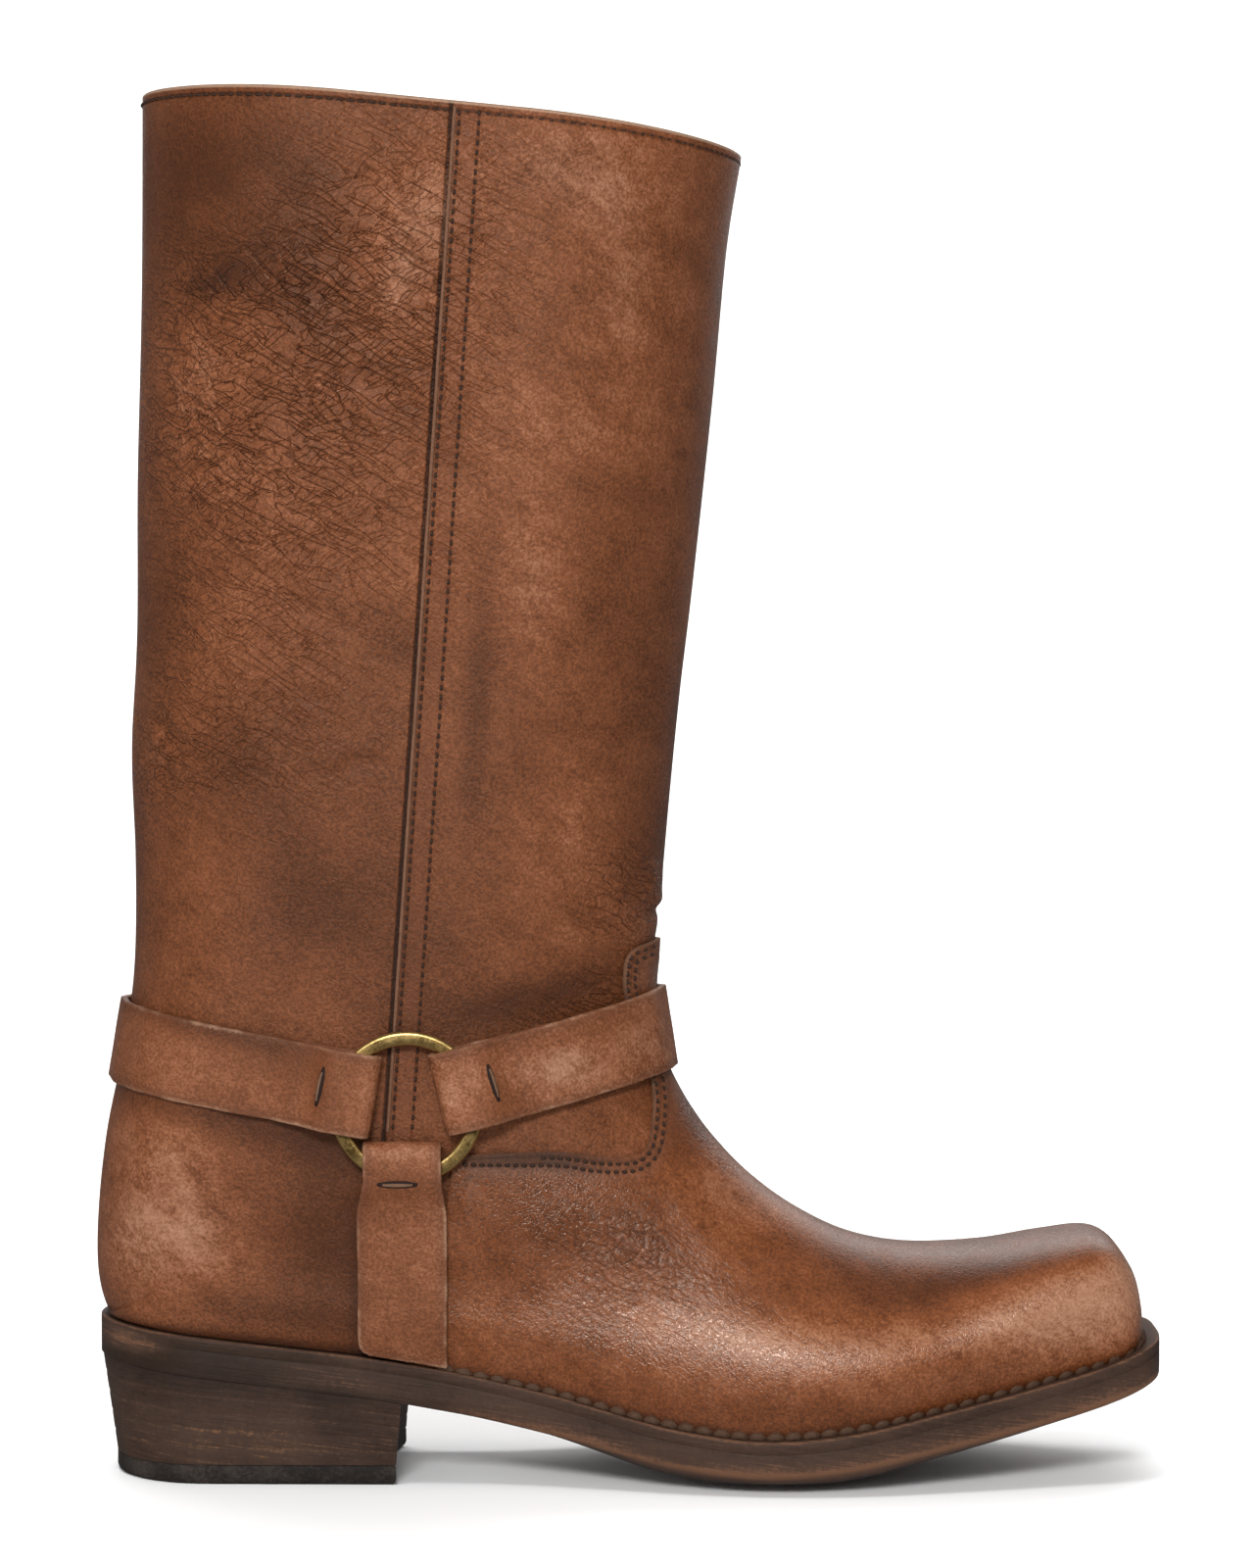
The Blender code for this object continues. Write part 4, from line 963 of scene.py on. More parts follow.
class Net:
    """Short ways to add nodes to a material."""

    def __init__(self, name):
        self.material = bpy.data.materials.new(name)
        self.material.use_nodes = True
        self.tree = self.material.node_tree
        self.shader = self.tree.nodes["Principled BSDF"]
        place = self.node("ShaderNodeTexCoord").outputs["Object"]
        self.place = self.vector("SCALE", place, 1.0 / MM)

    def join(self, node, inputs):
        """Join a node's inputs to sockets, or set their values."""
        for key, value in inputs.items():
            if isinstance(value, bpy.types.NodeSocket):
                self.tree.links.new(value, node.inputs[key])
            else:
                node.inputs[key].default_value = value

    def node(self, kind, inputs=None, **settings):
        node = self.tree.nodes.new(kind)
        for key, value in settings.items():
            setattr(node, key, value)
        self.join(node, inputs or {})
        return node

    def vector(self, operation, a, b):
        inputs = {0: a, "Scale" if operation == "SCALE" else 1: b}
        return self.node("ShaderNodeVectorMath", inputs, operation=operation).outputs["Vector"]

    def math(self, operation, a, b=0.0):
        return self.node("ShaderNodeMath", {0: a, 1: b}, operation=operation).outputs[0]

    def value(self, name):
        """The number kept at the mesh's points under a name."""
        return self.node("ShaderNodeAttribute", attribute_name=name).outputs["Fac"]

    def noise(self, place, size=1.0, detail=3.0, rough=0.55, output="Fac"):
        """Cloudy noise with features of about the size given, in millimetres."""
        inputs = {"Vector": place, "Scale": 1.0 / size, "Detail": detail, "Roughness": rough}
        return self.node("ShaderNodeTexNoise", inputs).outputs[output]

    def cells(self, place, size=1.0):
        """Distance from the middle of the nearest of many cells."""
        return self.node("ShaderNodeTexVoronoi", {"Vector": place, "Scale": 1.0 / size}).outputs["Distance"]

    def stretch(self, place, turn, sizes):
        """Places turned about the boot's width, then measured in a size of their own along each axis."""
        inputs = {"Vector": place, "Rotation": (0.0, math.radians(turn), 0.0), "Scale": sizes}
        return self.node("ShaderNodeMapping", inputs, vector_type="TEXTURE").outputs["Vector"]

    def swirl(self, place, size, amount):
        """Places pushed about by a cloudy noise."""
        cloud = self.noise(place, size, detail=0.0, rough=0.5, output="Color")
        push = self.vector("SUBTRACT", cloud, (0.5, 0.5, 0.5))
        return self.vector("ADD", place, self.vector("SCALE", push, amount))

    def ramp(self, fac, stops):
        node = self.node("ShaderNodeValToRGB", {"Fac": fac})
        band = node.color_ramp.elements
        while len(band) < len(stops):
            band.new(0.5)
        for element, (at, colour) in zip(band, stops):
            element.position = at
            element.color = (*colour, 1.0)
        return node.outputs["Color"]

    def span(self, value, low, high, to_low=0.0, to_high=1.0):
        """A value between low and high, eased and spread between two others."""
        inputs = {"Value": value, "From Min": low, "From Max": high, "To Min": to_low, "To Max": to_high}
        return self.node("ShaderNodeMapRange", inputs, interpolation_type="SMOOTHSTEP").outputs["Result"]

    def mix(self, fac, a, b, blend="MIX"):
        """Two colours mixed; each is a socket or three numbers."""
        a, b = (c if isinstance(c, bpy.types.NodeSocket) else (*c, 1.0) for c in (a, b))
        inputs = {0: fac, 6: a, 7: b}
        return self.node("ShaderNodeMix", inputs, data_type="RGBA", blend_type=blend).outputs[2]

    def line(self, value, at, half):
        """A soft line where a value passes a place: 1 on it, 0 beyond its half width."""
        away = self.math("ABSOLUTE", self.math("SUBTRACT", value, at))
        return self.span(away, 0.0, half, 1.0, 0.0)

    def total(self, *terms, plus=0.0):
        """Sum of (value, factor) pairs and a number."""
        result = plus
        for value, factor in terms:
            result = self.math("ADD", self.math("MULTIPLY", value, factor), result)
        return result

    def around(self, middle, *layers):
        """Sum of (noise, share) pairs about a middle value."""
        return self.total(*layers, plus=middle - sum(share for _, share in layers) / 2)

    def finish(self, colour, roughness, height=None, metal=0.0, specular=0.5, sheen=(1.0, 1.0, 1.0)):
        """Join everything to the shader; height is in millimetres."""
        inputs = {"Base Color": colour, "Roughness": roughness, "Metallic": metal,
                  "Specular IOR Level": specular, "Specular Tint": (*sheen, 1.0)}
        if height is not None:
            bump = self.node("ShaderNodeBump", {"Distance": MM, "Height": height})
            inputs["Normal"] = bump.outputs["Normal"]
        self.join(self.shader, inputs)
        return self.material


def leather(name, rough, specular, grain, shade, tone=0.30, mottle=0.3, crackle=0.0, pebble=0.0,
            marks=(), strips=(), cut_edges=False, sheen=WAXED, dye=None, dull_edge=0.0):
    """Waxed, rubbed brown leather: cloudy colour, speckled grain, crackle lines and pebbled wrinkles, with
    painted shade in their hollows and painted highlight on the crackle ridges.
    """
    net = Net(name)
    place = net.place
    cloud = net.noise(place, size=26.0, detail=2.0)
    patch = net.noise(net.stretch(place, turn=35.0, sizes=(9.0, 8.0, 5.5)), rough=0.62)
    fleck = net.noise(net.stretch(place, turn=30.0, sizes=(2.6, 2.2, 1.6)), rough=0.68)
    speck = net.span(net.noise(place, size=0.75, detail=2.0, rough=0.70), low=0.34, high=0.66)
    patchy = net.span(patch, low=0.30, high=0.70, to_low=1 - mottle, to_high=1 + mottle)
    uneven = net.math("ADD", patchy, net.around(0.0, (fleck, 1.1), (speck, 0.35)))
    mottled = net.math("MULTIPLY", net.value("tone"), uneven)
    value = net.around(shade, (cloud, 0.26), (patch, 0.28), (fleck, 0.22), (speck, 0.18))
    value = net.total((mottled, tone), (value, 1.0))
    height = net.math("MULTIPLY", speck, grain)
    if crackle:
        drawn = net.swirl(place, size=11.0, amount=3.2)
        long_waves = net.noise(net.stretch(drawn, turn=30.0, sizes=(17.0, 9.0, 2.6)), detail=1.3)
        short_waves = net.noise(net.stretch(drawn, turn=-30.0, sizes=(6.5, 5.0, 2.0)), detail=1.2, rough=0.60)
        where = net.math("ADD", net.value("crackle"), CRACKLE_EVERYWHERE)
        value = net.total((where, CRACKLE_LIGHT * crackle), (value, 1.0))
        for at, long_half, short_half, short_share, rise, light in CRACKLE_LINES:
            long_lines = net.line(long_waves, at, long_half)
            short_lines = net.line(short_waves, at, short_half)
            lines = net.math("MULTIPLY", net.total((long_lines, 1.0), (short_lines, short_share)), where)
            height = net.total((lines, rise * crackle), (height, 1.0))
            # painted shade darkens the crack lines, painted highlight lightens the ridges beside them
            value = net.total((lines, light * crackle), (value, 1.0))
    if pebble:
        drawn = net.swirl(place, size=6.0, amount=2.0)
        cells = net.cells(net.stretch(drawn, turn=38.0, sizes=(2.0, 1.7, 1.25)))
        bumps = net.math("MULTIPLY", cells, net.value("pebble"))
        height = net.total((bumps, -PEBBLE_DEPTH * pebble), (height, 1.0))
        # painted shade: the valleys between pebbles are darkened
        value = net.total((bumps, -PEBBLE_VALLEY_SHADE * pebble), (value, 1.0))
    for attribute, at, half, depth, dark in marks:
        mark = net.line(net.value(attribute), at, half)
        height = net.total((mark, -depth), (height, 1.0))
        value = net.total((mark, -dark), (value, 1.0))
    colour = net.ramp(value, LEATHER_BAND)
    if dye:
        colour = net.mix(1.0, colour, dye, "MULTIPLY")
    # pale smudges mix in the scuff colour: real scuffs, and painted highlight on the vamp
    colour = net.mix(net.span(mottled, low=0.12, high=0.75, to_high=0.55), colour, SCUFF_AND_SHEEN)
    for attribute, low, high, amount, tint in strips:
        across = net.value(attribute)
        past_low = net.span(across, low, low + STRIP_EDGE, to_high=amount)
        inside = net.math("MULTIPLY", past_low, net.span(across, high, high - STRIP_EDGE))
        colour = net.mix(inside, colour, tint)
    if cut_edges:
        reach = net.math("ADD", net.value("edge"), net.around(0.0, (speck, FIBRE)))
        colour = net.mix(net.span(reach, low=3.4, high=0.9, to_high=0.35), colour, EDGE_STAIN)
        worn_through = net.span(patch, low=0.42, high=0.66, to_low=0.08, to_high=0.75)
        frayed = net.math("MULTIPLY", net.span(reach, low=1.0, high=0.35), worn_through)
        colour = net.mix(frayed, colour, EDGE_FIBRE)
    roughness = net.around(rough, (patch, 0.30), (speck, -0.08))
    if pebble:
        roughness = net.total((net.value("pebble"), PEBBLE_DULL * pebble), (roughness, 1.0))
    if dull_edge:
        near = net.span(net.value("edge"), low=1.0, high=8.0, to_low=dull_edge, to_high=0.0)
        roughness = net.math("ADD", roughness, near)
    return net.finish(colour, roughness, height, specular=specular, sheen=sheen)


def raw_edge(name, light, dark):
    """Cut edge of leather: pale, fibrous and dull."""
    net = Net(name)
    fibre = net.noise(net.place, size=0.7, detail=4.0, rough=0.7)
    cloud = net.noise(net.place, size=6.0)
    colour = net.mix(net.math("MULTIPLY", fibre, net.math("ADD", cloud, 0.35)), dark, light)
    return net.finish(colour, 0.8, net.math("MULTIPLY", fibre, 0.25), specular=0.2)


def sole_leather(name, dark, brown, worn, amount):
    """Stained sole edge: near-black brown, streaked along, rubbed back to tan in places."""
    net = Net(name)
    streak = net.noise(net.stretch(net.place, turn=7.0, sizes=(16.0, 5.0, 0.45)), detail=4.0, rough=0.66)
    cloud = net.noise(net.place, size=22.0, rough=0.6)
    fine = net.noise(net.place, size=1.1, rough=0.7)
    worn_here = net.value("worn")
    base = net.total((streak, 0.35), (cloud, 0.4), (fine, 0.25), (worn_here, 0.35))
    base = net.mix(net.span(base, low=0.32, high=0.72), dark, brown)
    rub = net.total((worn_here, 0.8), (streak, 1.5), (fine, 0.9))
    colour = net.mix(net.span(rub, low=1.45, high=2.0, to_high=amount), base, worn)
    roughness = net.total((streak, 0.25), (fine, 0.15), plus=0.36)
    height = net.total((streak, 0.12), (fine, 0.07), (cloud, 0.1))
    return net.finish(colour, roughness, height, specular=0.16)


def rubber(name):
    """Matt black rubber with dust in its pores."""
    net = Net(name)
    fine = net.noise(net.place, size=0.9, rough=0.7)
    cloud = net.noise(net.place, size=14.0)
    dust = net.span(net.total((fine, 0.5), (cloud, 0.6)), low=0.45, high=0.75)
    colour = net.mix(dust, (0.012, 0.009, 0.008), (0.044, 0.034, 0.028))
    roughness = net.total((fine, 0.2), plus=0.55)
    return net.finish(colour, roughness, net.total((fine, 0.12), (cloud, 0.1)), specular=0.2)


def brass(name):
    """Antique brass: darkened in patches, brighter where rubbed."""
    net = Net(name)
    cloud = net.noise(net.place, size=4.0, rough=0.65)
    fine = net.noise(net.place, size=0.5, rough=0.7)
    bright = net.total((cloud, 0.8), (fine, 0.4), (net.value("rubbed"), 0.40))
    colour = net.mix(net.span(bright, low=0.50, high=1.05), (0.200, 0.118, 0.036), (0.690, 0.480, 0.180))
    roughness = net.total((cloud, 0.25), (fine, 0.25), plus=0.12)
    return net.finish(colour, roughness, net.total((fine, 0.03), (cloud, 0.05)), metal=1.0)


def thread(name, dark, light):
    """Waxed thread, twisted."""
    net = Net(name)
    twist = net.noise(net.stretch(net.place, turn=35.0, sizes=(0.8, 0.8, 0.3)), detail=2.0)
    fine = net.noise(net.place, size=0.4)
    colour = net.mix(net.total((twist, 0.6), (fine, 0.4)), dark, light)
    roughness = net.total((fine, 0.2), plus=0.55)
    return net.finish(colour, roughness, net.math("MULTIPLY", twist, 0.12), specular=0.15)


def lining(name):
    """Tan lining leather, lightly soiled."""
    net = Net(name)
    cloud = net.noise(net.place, size=18.0, detail=5.0, rough=0.6)
    pore = net.cells(net.place, size=0.9)
    fine = net.noise(net.place, size=1.2, detail=4.0, rough=0.7)
    clean = net.span(net.total((cloud, 0.7), (fine, 0.4)), low=0.35, high=0.8)
    colour = net.mix(clean, (0.130, 0.072, 0.036), (0.300, 0.185, 0.105))
    roughness = net.total((cloud, 0.2), plus=0.55)
    return net.finish(colour, roughness, net.total((pore, 0.05), (fine, 0.08), (cloud, 0.3)))


def pale_floor(name):
    """Even, pale studio paper."""
    net = Net(name)
    cloud = net.noise(net.place, size=120.0, detail=0.0)
    colour = net.mix(cloud, (0.925, 0.925, 0.925), (0.945, 0.945, 0.945))
    return net.finish(colour, 0.9, specular=0.1)


def build_upper(materials):
    """The upper: a fine outer skin with its creases, a collar edge, and a coarser lining inside."""
    points, index, out_faces, normals = skin(FOOT_ROWS, SHAFT_ROWS, len(SECTIONS) - 1)
    bare = 1 - ease((vamp_inside(points) + VAMP_COVER) / VAMP_FADE)
    steps = np.linalg.norm(points[index[1:]] - points[index[:-1]], axis=2)
    collar = np.zeros(len(points))
    collar[index[:-1].ravel()] = np.cumsum(steps[::-1], axis=0)[::-1].ravel()
    seam = (points[:, 0] - seam_line(points[:, 2])) * SEAM_SQUARE
    relief = blobs(points, SHAFT_SWELLS) + creases(points, SHAFT_CREASES)
    relief = relief * bare * ease(collar / COLLAR_FLAT)
    relief += PANEL_STEP * ease((seam - PANEL_EDGE) / PANEL_BLEND) * bare
    outer = points + normals * relief[:, None]

    last = len(index) - 1
    rows = [*range(0, FOOT_ROWS, LINING_STEP), *range(FOOT_ROWS, last, LINING_STEP), last]
    used, back = np.unique(index[rows], return_inverse=True)
    lining_index = len(points) + back.reshape(len(rows), -1)
    inner = points[used] - normals[used] * WALL
    rim = index[-1]
    level = unit(normals[rim[:-1]] * (1.0, 1.0, 0.0))
    lips = [outer[rim[:-1]] - level * set_in + (0.0, 0.0, rise) for set_in, rise in LIP]
    lip_index = len(points) + len(inner) + wrapped(len(lips), len(rim) - 1)
    lip_faces = tidy_faces(grid_faces(np.vstack((rim, lip_index, lining_index[-1]))))
    in_faces = tidy_faces(grid_faces(lining_index)[:, ::-1])
    in_faces += tidy_faces(grid_faces(np.array((lining_index[0], index[0]))))
    for i in range(1, rows.index(FOOT_ROWS) + 1):
        between = np.arange(rows[i - 1], rows[i] + 1)
        for column, turn in ((0, -1), (-1, 1)):
            border = [*index[between, column], lining_index[i, column], lining_index[i - 1, column]]
            in_faces += tidy_faces([border[::turn]])
    slots = [0] * len(out_faces) + [1] * len(lip_faces) + [2] * len(in_faces)
    item = mesh_object("boot_upper", np.concatenate((outer, inner, *lips)), out_faces + lip_faces + in_faces,
                       materials, slots, smooth=50.0)
    store_leather(item, points, SHAFT_SMUDGES)
    store(item, "seam", seam, AWAY)
    store(item, "collar", collar, AWAY)
    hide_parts("upper")
    return item


def build_vamp(materials):
    """The vamp with its instep tab: the skin cut to its outline, lifted and given thickness."""
    points, _, faces, normals = skin(VAMP_FOOT_ROWS, VAMP_TAB_ROWS, VAMP_TAB_TOP)
    points, normals, faces = clip_sheet(points, normals, faces, vamp_inside(points))
    inside = vamp_inside(points)
    relief = blobs(points, VAMP_SWELLS) + creases(points, VAMP_CREASES)
    relief = VAMP_LIFT + (relief + VAMP_CROWN) * ease(inside / VAMP_EDGE)
    sheet = points + unit(normals) * relief[:, None]
    item = mesh_object("boot_vamp", sheet, faces, materials, smooth=None, face_out=False)
    store_leather(item, points, VAMP_SMUDGES_AND_HIGHLIGHTS)
    store(item, "edge", np.where(points[:, 0] > VAMP_SEWN, inside, AWAY))
    layer = item.modifiers.new("leather", "SOLIDIFY")
    layer.thickness = VAMP_THICK * MM
    layer.offset = 1.0
    layer.material_offset_rim = 1
    soften = item.modifiers.new("soft edge", "BEVEL")
    soften.width = VAMP_BEVEL * MM
    soften.segments = 2
    soften.limit_method = "ANGLE"
    soften.angle_limit = math.radians(55.0)
    bpy.context.view_layer.update()
    made = bpy.data.meshes.new_from_object(item.evaluated_get(bpy.context.evaluated_depsgraph_get()))
    item.modifiers.clear()
    item.data = made
    made.shade_smooth()
    made.set_sharp_from_angle(angle=math.radians(50.0))
    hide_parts("vamp")
    return item


def tree_of(item):
    """Search tree over an object's faces, in millimetres in the boot's frame."""
    places = [Vector(p) for p in points_of(item.data) + SHIFT]
    return BVHTree.FromPolygons(places, [tuple(p.vertices) for p in item.data.polygons])


def seen_from_side(tree, x, z, sign):
    """Point and outward direction of a surface at a side-view place, or nothing where it isn't."""
    place, normal, _, _ = tree.ray_cast(Vector((x, sign * SIDE_VIEW, z)), Vector((0.0, -sign, 0.0)))
    if place is None or place[1] * sign < 0:
        return None
    normal = normal if normal[1] * sign > 0 else -normal
    return np.array(place), np.array(normal)


def spaced(line, pitch):
    """Points evenly spaced along a line, and the direction at each."""
    line = np.asarray(line, float)
    run = run_of(line)
    count = max(int(run[-1] / pitch), 1)
    at = (np.arange(count) + 0.5) * run[-1] / count
    ahead = read_line(line, run, at + WAY_STEP)
    behind = read_line(line, run, at - WAY_STEP)
    return read_line(line, run, at), ahead - behind


def stitch_shape(length, radius, bow):
    """One stitch along its first axis, bowed up along its third."""
    points = []
    for along, thick in STITCH_PROFILE:
        for angle in np.linspace(0, 2 * math.pi, STITCH_SIDES, endpoint=False):
            high = thick * radius * math.sin(angle) + bow * radius * (BOW_DOWN - along * along)
            points.append((along * length / 2, thick * radius * math.cos(angle), high))
    return np.array(points), body_faces(len(STITCH_PROFILE), STITCH_SIDES)


def stitches(name, rows, size, material):
    """Many stitches as one mesh, each from (place, direction, outward); size is length, radius and bow."""
    shape, shape_faces = stitch_shape(*size)
    points = []
    faces = []
    for place, direction, out in rows:
        direction = unit(direction)
        out = unit(out - np.dot(out, direction) * direction)
        start = len(points) * len(shape)
        points.append(place + shape @ np.array((direction, np.cross(out, direction), out)))
        faces += [tuple(n + start for n in face) for face in shape_faces]
    item = mesh_object(name, np.concatenate(points), faces, [material], smooth=60.0)


def side_rows(tree, line, pitch):
    """Places of stitches along a side-view line, on both sides of the boot."""
    rows = []
    places, ways = spaced(line, pitch)
    for _, sign in SIDES:
        for (x, z), (dx, dz) in zip(places, ways):
            here = seen_from_side(tree, x, z, sign)
            ahead = seen_from_side(tree, x + dx / 2, z + dz / 2, sign)
            if here and ahead and np.linalg.norm(ahead[0] - here[0]) < STITCH_JUMP:
                rows.append((here[0], ahead[0] - here[0], here[1]))
    return rows


def inset(line, by):
    """A side-view line moved to its right-hand side."""
    way = unit(np.gradient(line, axis=0))
    return line + np.stack((way[:, 1], -way[:, 0]), axis=1) * by


def bead(points, radii):
    """Points and faces of a round bead through points."""
    way = unit(np.gradient(points, axis=0))
    turn = np.linspace(0, 2 * math.pi, BEAD_SIDES, endpoint=False)[:, None]
    out = []
    for p, w, r in zip(points, way, radii):
        a = unit(np.cross(w, BEAD_ASKEW))
        out.append(p + r * (np.cos(turn) * a + np.sin(turn) * np.cross(w, a)))
    return np.concatenate(out), body_faces(len(points), BEAD_SIDES)


def build_seams(tree, material):
    """The raised edge of the front panel up each side seam."""
    for side, sign in SIDES:
        node = "side_seam_" + side
        line = []
        for z in np.arange(SEAM_LOW[1], SEAM_TOP[1] + BEAD_EXTRA, BEAD_STEP):
            here = seen_from_side(tree, float(seam_line(z)), z, sign)
            if here:
                wobble = BEAD_SWAY * noise.noise(Vector((z * BEAD_BENDS, sign, 0.0)))
                line.append(here[0] + here[1] * BEAD_LIFT + (wobble, 0.0, 0.0))
        rough = [noise.noise(Vector((place[2] * BEAD_BUMPS, BEAD_SEED, sign))) for place in line]
        points, faces = bead(np.array(line), BEAD_RADIUS + BEAD_UNEVEN * np.array(rough))
        item = mesh_object("seam_edge_" + side, points, faces, [material], smooth=60.0)
        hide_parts(node)


def flanks(places, margin):
    """Outer and inner side of the plan outline as (x, y) pairs, at places along the foot."""
    outer = np.stack((places, -half_width(places, 0, margin)), axis=1)
    return outer, np.stack((places, half_width(places, 1, margin)), axis=1)


def foot_loop(margin, drop, follow=True):
    """Closed outline at a margin on the welt's own, or on the foot's, and a depth under the feather line."""
    heel = margin + (OVERHANG[0][1] if follow else 0.0)
    toe = margin + (OVERHANG[-1][1] if follow else 0.0)
    places = stations(heel, toe, WELT_STEPS)
    outer, inner = flanks(places, margin + (overhang(places) if follow else 0.0))
    back = ((HEEL_CENTRE - HEEL_RADIUS - heel, 0.0),)
    front = ((TOE_START + TOE_DEPTH + toe, 0.0),)
    loop = np.concatenate((back, outer, front, inner[::-1]))
    return np.column_stack((loop, feather(loop[:, 0]) - drop))


def build_welt(material):
    """Welt with softened edges, closed down onto the outsole."""
    loops = [foot_loop(margin, drop) for margin, drop, _ in WELT_PROFILE]
    loops += [foot_loop(-WELT_INSIDE, drop, follow=False) for drop in (WELT_THICK + WELT_SINK, 0.0)]
    worn = [rubbed for _, _, rubbed in WELT_PROFILE] + [0.0, 0.0]
    points = np.concatenate(loops)
    faces = ring_faces(len(loops), len(loops[0]))
    item = mesh_object("welt_strip", points, faces, [material], smooth=35.0)
    store(item, "worn", np.repeat(worn, len(loops[0])) + blobs(points, SOLE_WEAR))
    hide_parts("welt")


def loop_body(name, loops, material, worn=None):
    """Closed body through loops, with how worn its points are where that is given."""
    points = np.concatenate(loops)
    item = mesh_object(name, points, body_faces(len(loops), len(loops[0])), [material])
    if worn is not None:
        store(item, "worn", np.concatenate(worn) + blobs(points, SOLE_WEAR))
    return item


def build_outsole(material):
    """Outsole with a trimmed, softened edge and a crowned underside."""
    loops = []
    worn = []
    for x in stations(OVERHANG[0][1], OVERHANG[-1][1], SOLE_STEPS):
        high, crown, thick = curve(SOLE, x)
        top = high - WELT_THICK - SOLE_TOP
        edge = top - thick
        middle = max(edge - crown, 0.0)
        free = float(ease((x - HEEL_FRONT) / TRIM_BLEND))
        loop = []
        for side, flip in ((1, 1), (0, -1)):
            width = float(half_width(x, side, float(overhang(x))))
            half = []
            for under_top, set_in, trimmed, height, _ in EDGE:
                level = top if under_top else edge
                half.append((x, flip * (width - set_in - trimmed * free), level + height))
            for across, height, _ in CROWN:
                half.append((x, flip * across * (width - CROWN_INSET), middle + height * (edge - middle)))
            loop += half[::flip]
        loops.append(loop)
        wear = [row[-1] * free for row in EDGE] + [row[-1] for row in CROWN]
        worn.append(wear + wear[::-1])
    item = loop_body("outsole_leather", loops, material, worn)
    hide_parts("outsole")


def heel_loop(back, margin, breast):
    """Plan outline of the heel: round the outer side, the back, the inner side and the hollow breast."""
    turn = np.radians(np.linspace(90.0, -90.0, HEEL_CAP_STEPS))
    flank = np.linspace(breast, HEEL_CENTRE, HEEL_SIDE_STEPS)[:-1]
    outer, inner = flanks(flank, margin)
    wide = np.where(turn > 0, half_width(HEEL_CENTRE, 0, margin), half_width(HEEL_CENTRE, 1, margin))
    cap = np.stack((HEEL_CENTRE - (HEEL_CENTRE - back) * np.cos(turn), -wide * np.sin(turn)), axis=1)
    share = np.linspace(-1, 1, HEEL_SIDE_STEPS)[1:-1][::-1]
    across = np.where(share < 0, -outer[0, 1] * share, inner[0, 1] * share)
    hollow = np.stack((breast - BREAST_HOLLOW * (1 - share**2), across), axis=1)
    return np.concatenate((outer, cap, inner[::-1], hollow))


def build_heel(stack_material, lift_material):
    """Stacked heel with fine lines between its layers, and the rubber lift under it."""
    loops = []
    worn = []
    for share in np.linspace(0, 1, HEEL_LAYERS * LAYER_STEPS + 1):
        back, margin, breast = curve(HEEL, share)
        part = (share * HEEL_LAYERS) % 1.0
        groove = LAYER_GROOVE * math.exp(-(min(part, 1 - part) / GROOVE_WIDTH) ** 2) if 0 < share < 1 else 0.0
        loop = heel_loop(back + groove, margin - groove, breast - groove)
        row = curve(SOLE, loop[:, 0])
        seat = row[:, 0] - WELT_THICK - row[:, 2] - GAP - STACK_GAP
        loops.append(np.column_stack((loop, seat * (1 - share) + (LIFT_THICK + STACK_GAP) * share)))
        worn.append(np.full(len(loop), LAYER_WORN + GROOVE_WORN * groove))
    item = loop_body("heel_layers", loops, stack_material, worn)
    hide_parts("heel_stack")

    _, back, margin, breast = HEEL[-1]
    loops = []
    for step, height in LIFT_PROFILE:
        loop = heel_loop(back + step, margin - step, breast - step)
        loops.append(np.column_stack((loop, np.full(len(loop), height))))
    item = loop_body("heel_lift", loops, lift_material)
    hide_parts("heel_top_lift")


def build_strap(node, material, seed):
    """A strap from its solid: edges rounded, faces divided, the leather slightly uneven."""
    work = bmesh.new()
    work.from_mesh(frame["nodes"][node].data)
    bmesh.ops.remove_doubles(work, verts=work.verts, dist=0.01 * MM)
    bmesh.ops.join_triangles(work, faces=work.faces, angle_face_threshold=0.7, angle_shape_threshold=1.4)
    sharp = [e for e in work.edges if len(e.link_faces) == 2 and e.calc_face_angle(0.0) > STRAP_SHARP]
    corners = []
    for edge in sharp:
        a, b = (v.co.copy() for v in edge.verts)
        for t in np.linspace(0, 1, max(int((b - a).length / (EDGE_STEP * MM)), 2)):
            corners.append(a.lerp(b, t))
    tree = KDTree(len(corners))
    for i, corner in enumerate(corners):
        tree.insert(corner, i)
    tree.balance()
    bmesh.ops.bevel(work, geom=sharp, offset=STRAP_BEVEL * MM, segments=3, profile=0.55, affect="EDGES")
    across = [e for e in work.edges if e.calc_length() > STRAP_WIDE * MM]
    bmesh.ops.subdivide_edges(work, edges=across, cuts=STRAP_CUTS, use_grid_fill=True)
    bmesh.ops.recalc_face_normals(work, faces=work.faces)
    work.normal_update()
    edge_distance = []
    for vertex in work.verts:
        place = vertex.co / MM
        away = tree.find(vertex.co)[2] / MM
        edge_distance.append(away)
        fuzz = noise.noise(place * FUZZ_WAVES + Vector((seed, 0, 0))) * FUZZ_HIGH
        fuzz *= math.exp(-(away / FUZZ_REACH) ** 2)
        wave = noise.noise(place * STRAP_WAVES + Vector((0, seed, 0))) * STRAP_WAVE_HIGH
        vertex.co += vertex.normal * (fuzz + wave) * MM
    mesh = bpy.data.meshes.new(node + "_leather")
    work.to_mesh(mesh)
    work.free()
    mesh.materials.append(material)
    item = shown(node + "_leather", mesh, smooth=70.0)
    store(item, "edge", edge_distance)
    store(item, "tone", blobs(points_of(mesh) + SHIFT, STRAP_SMUDGES))
    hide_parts(node)
    return item


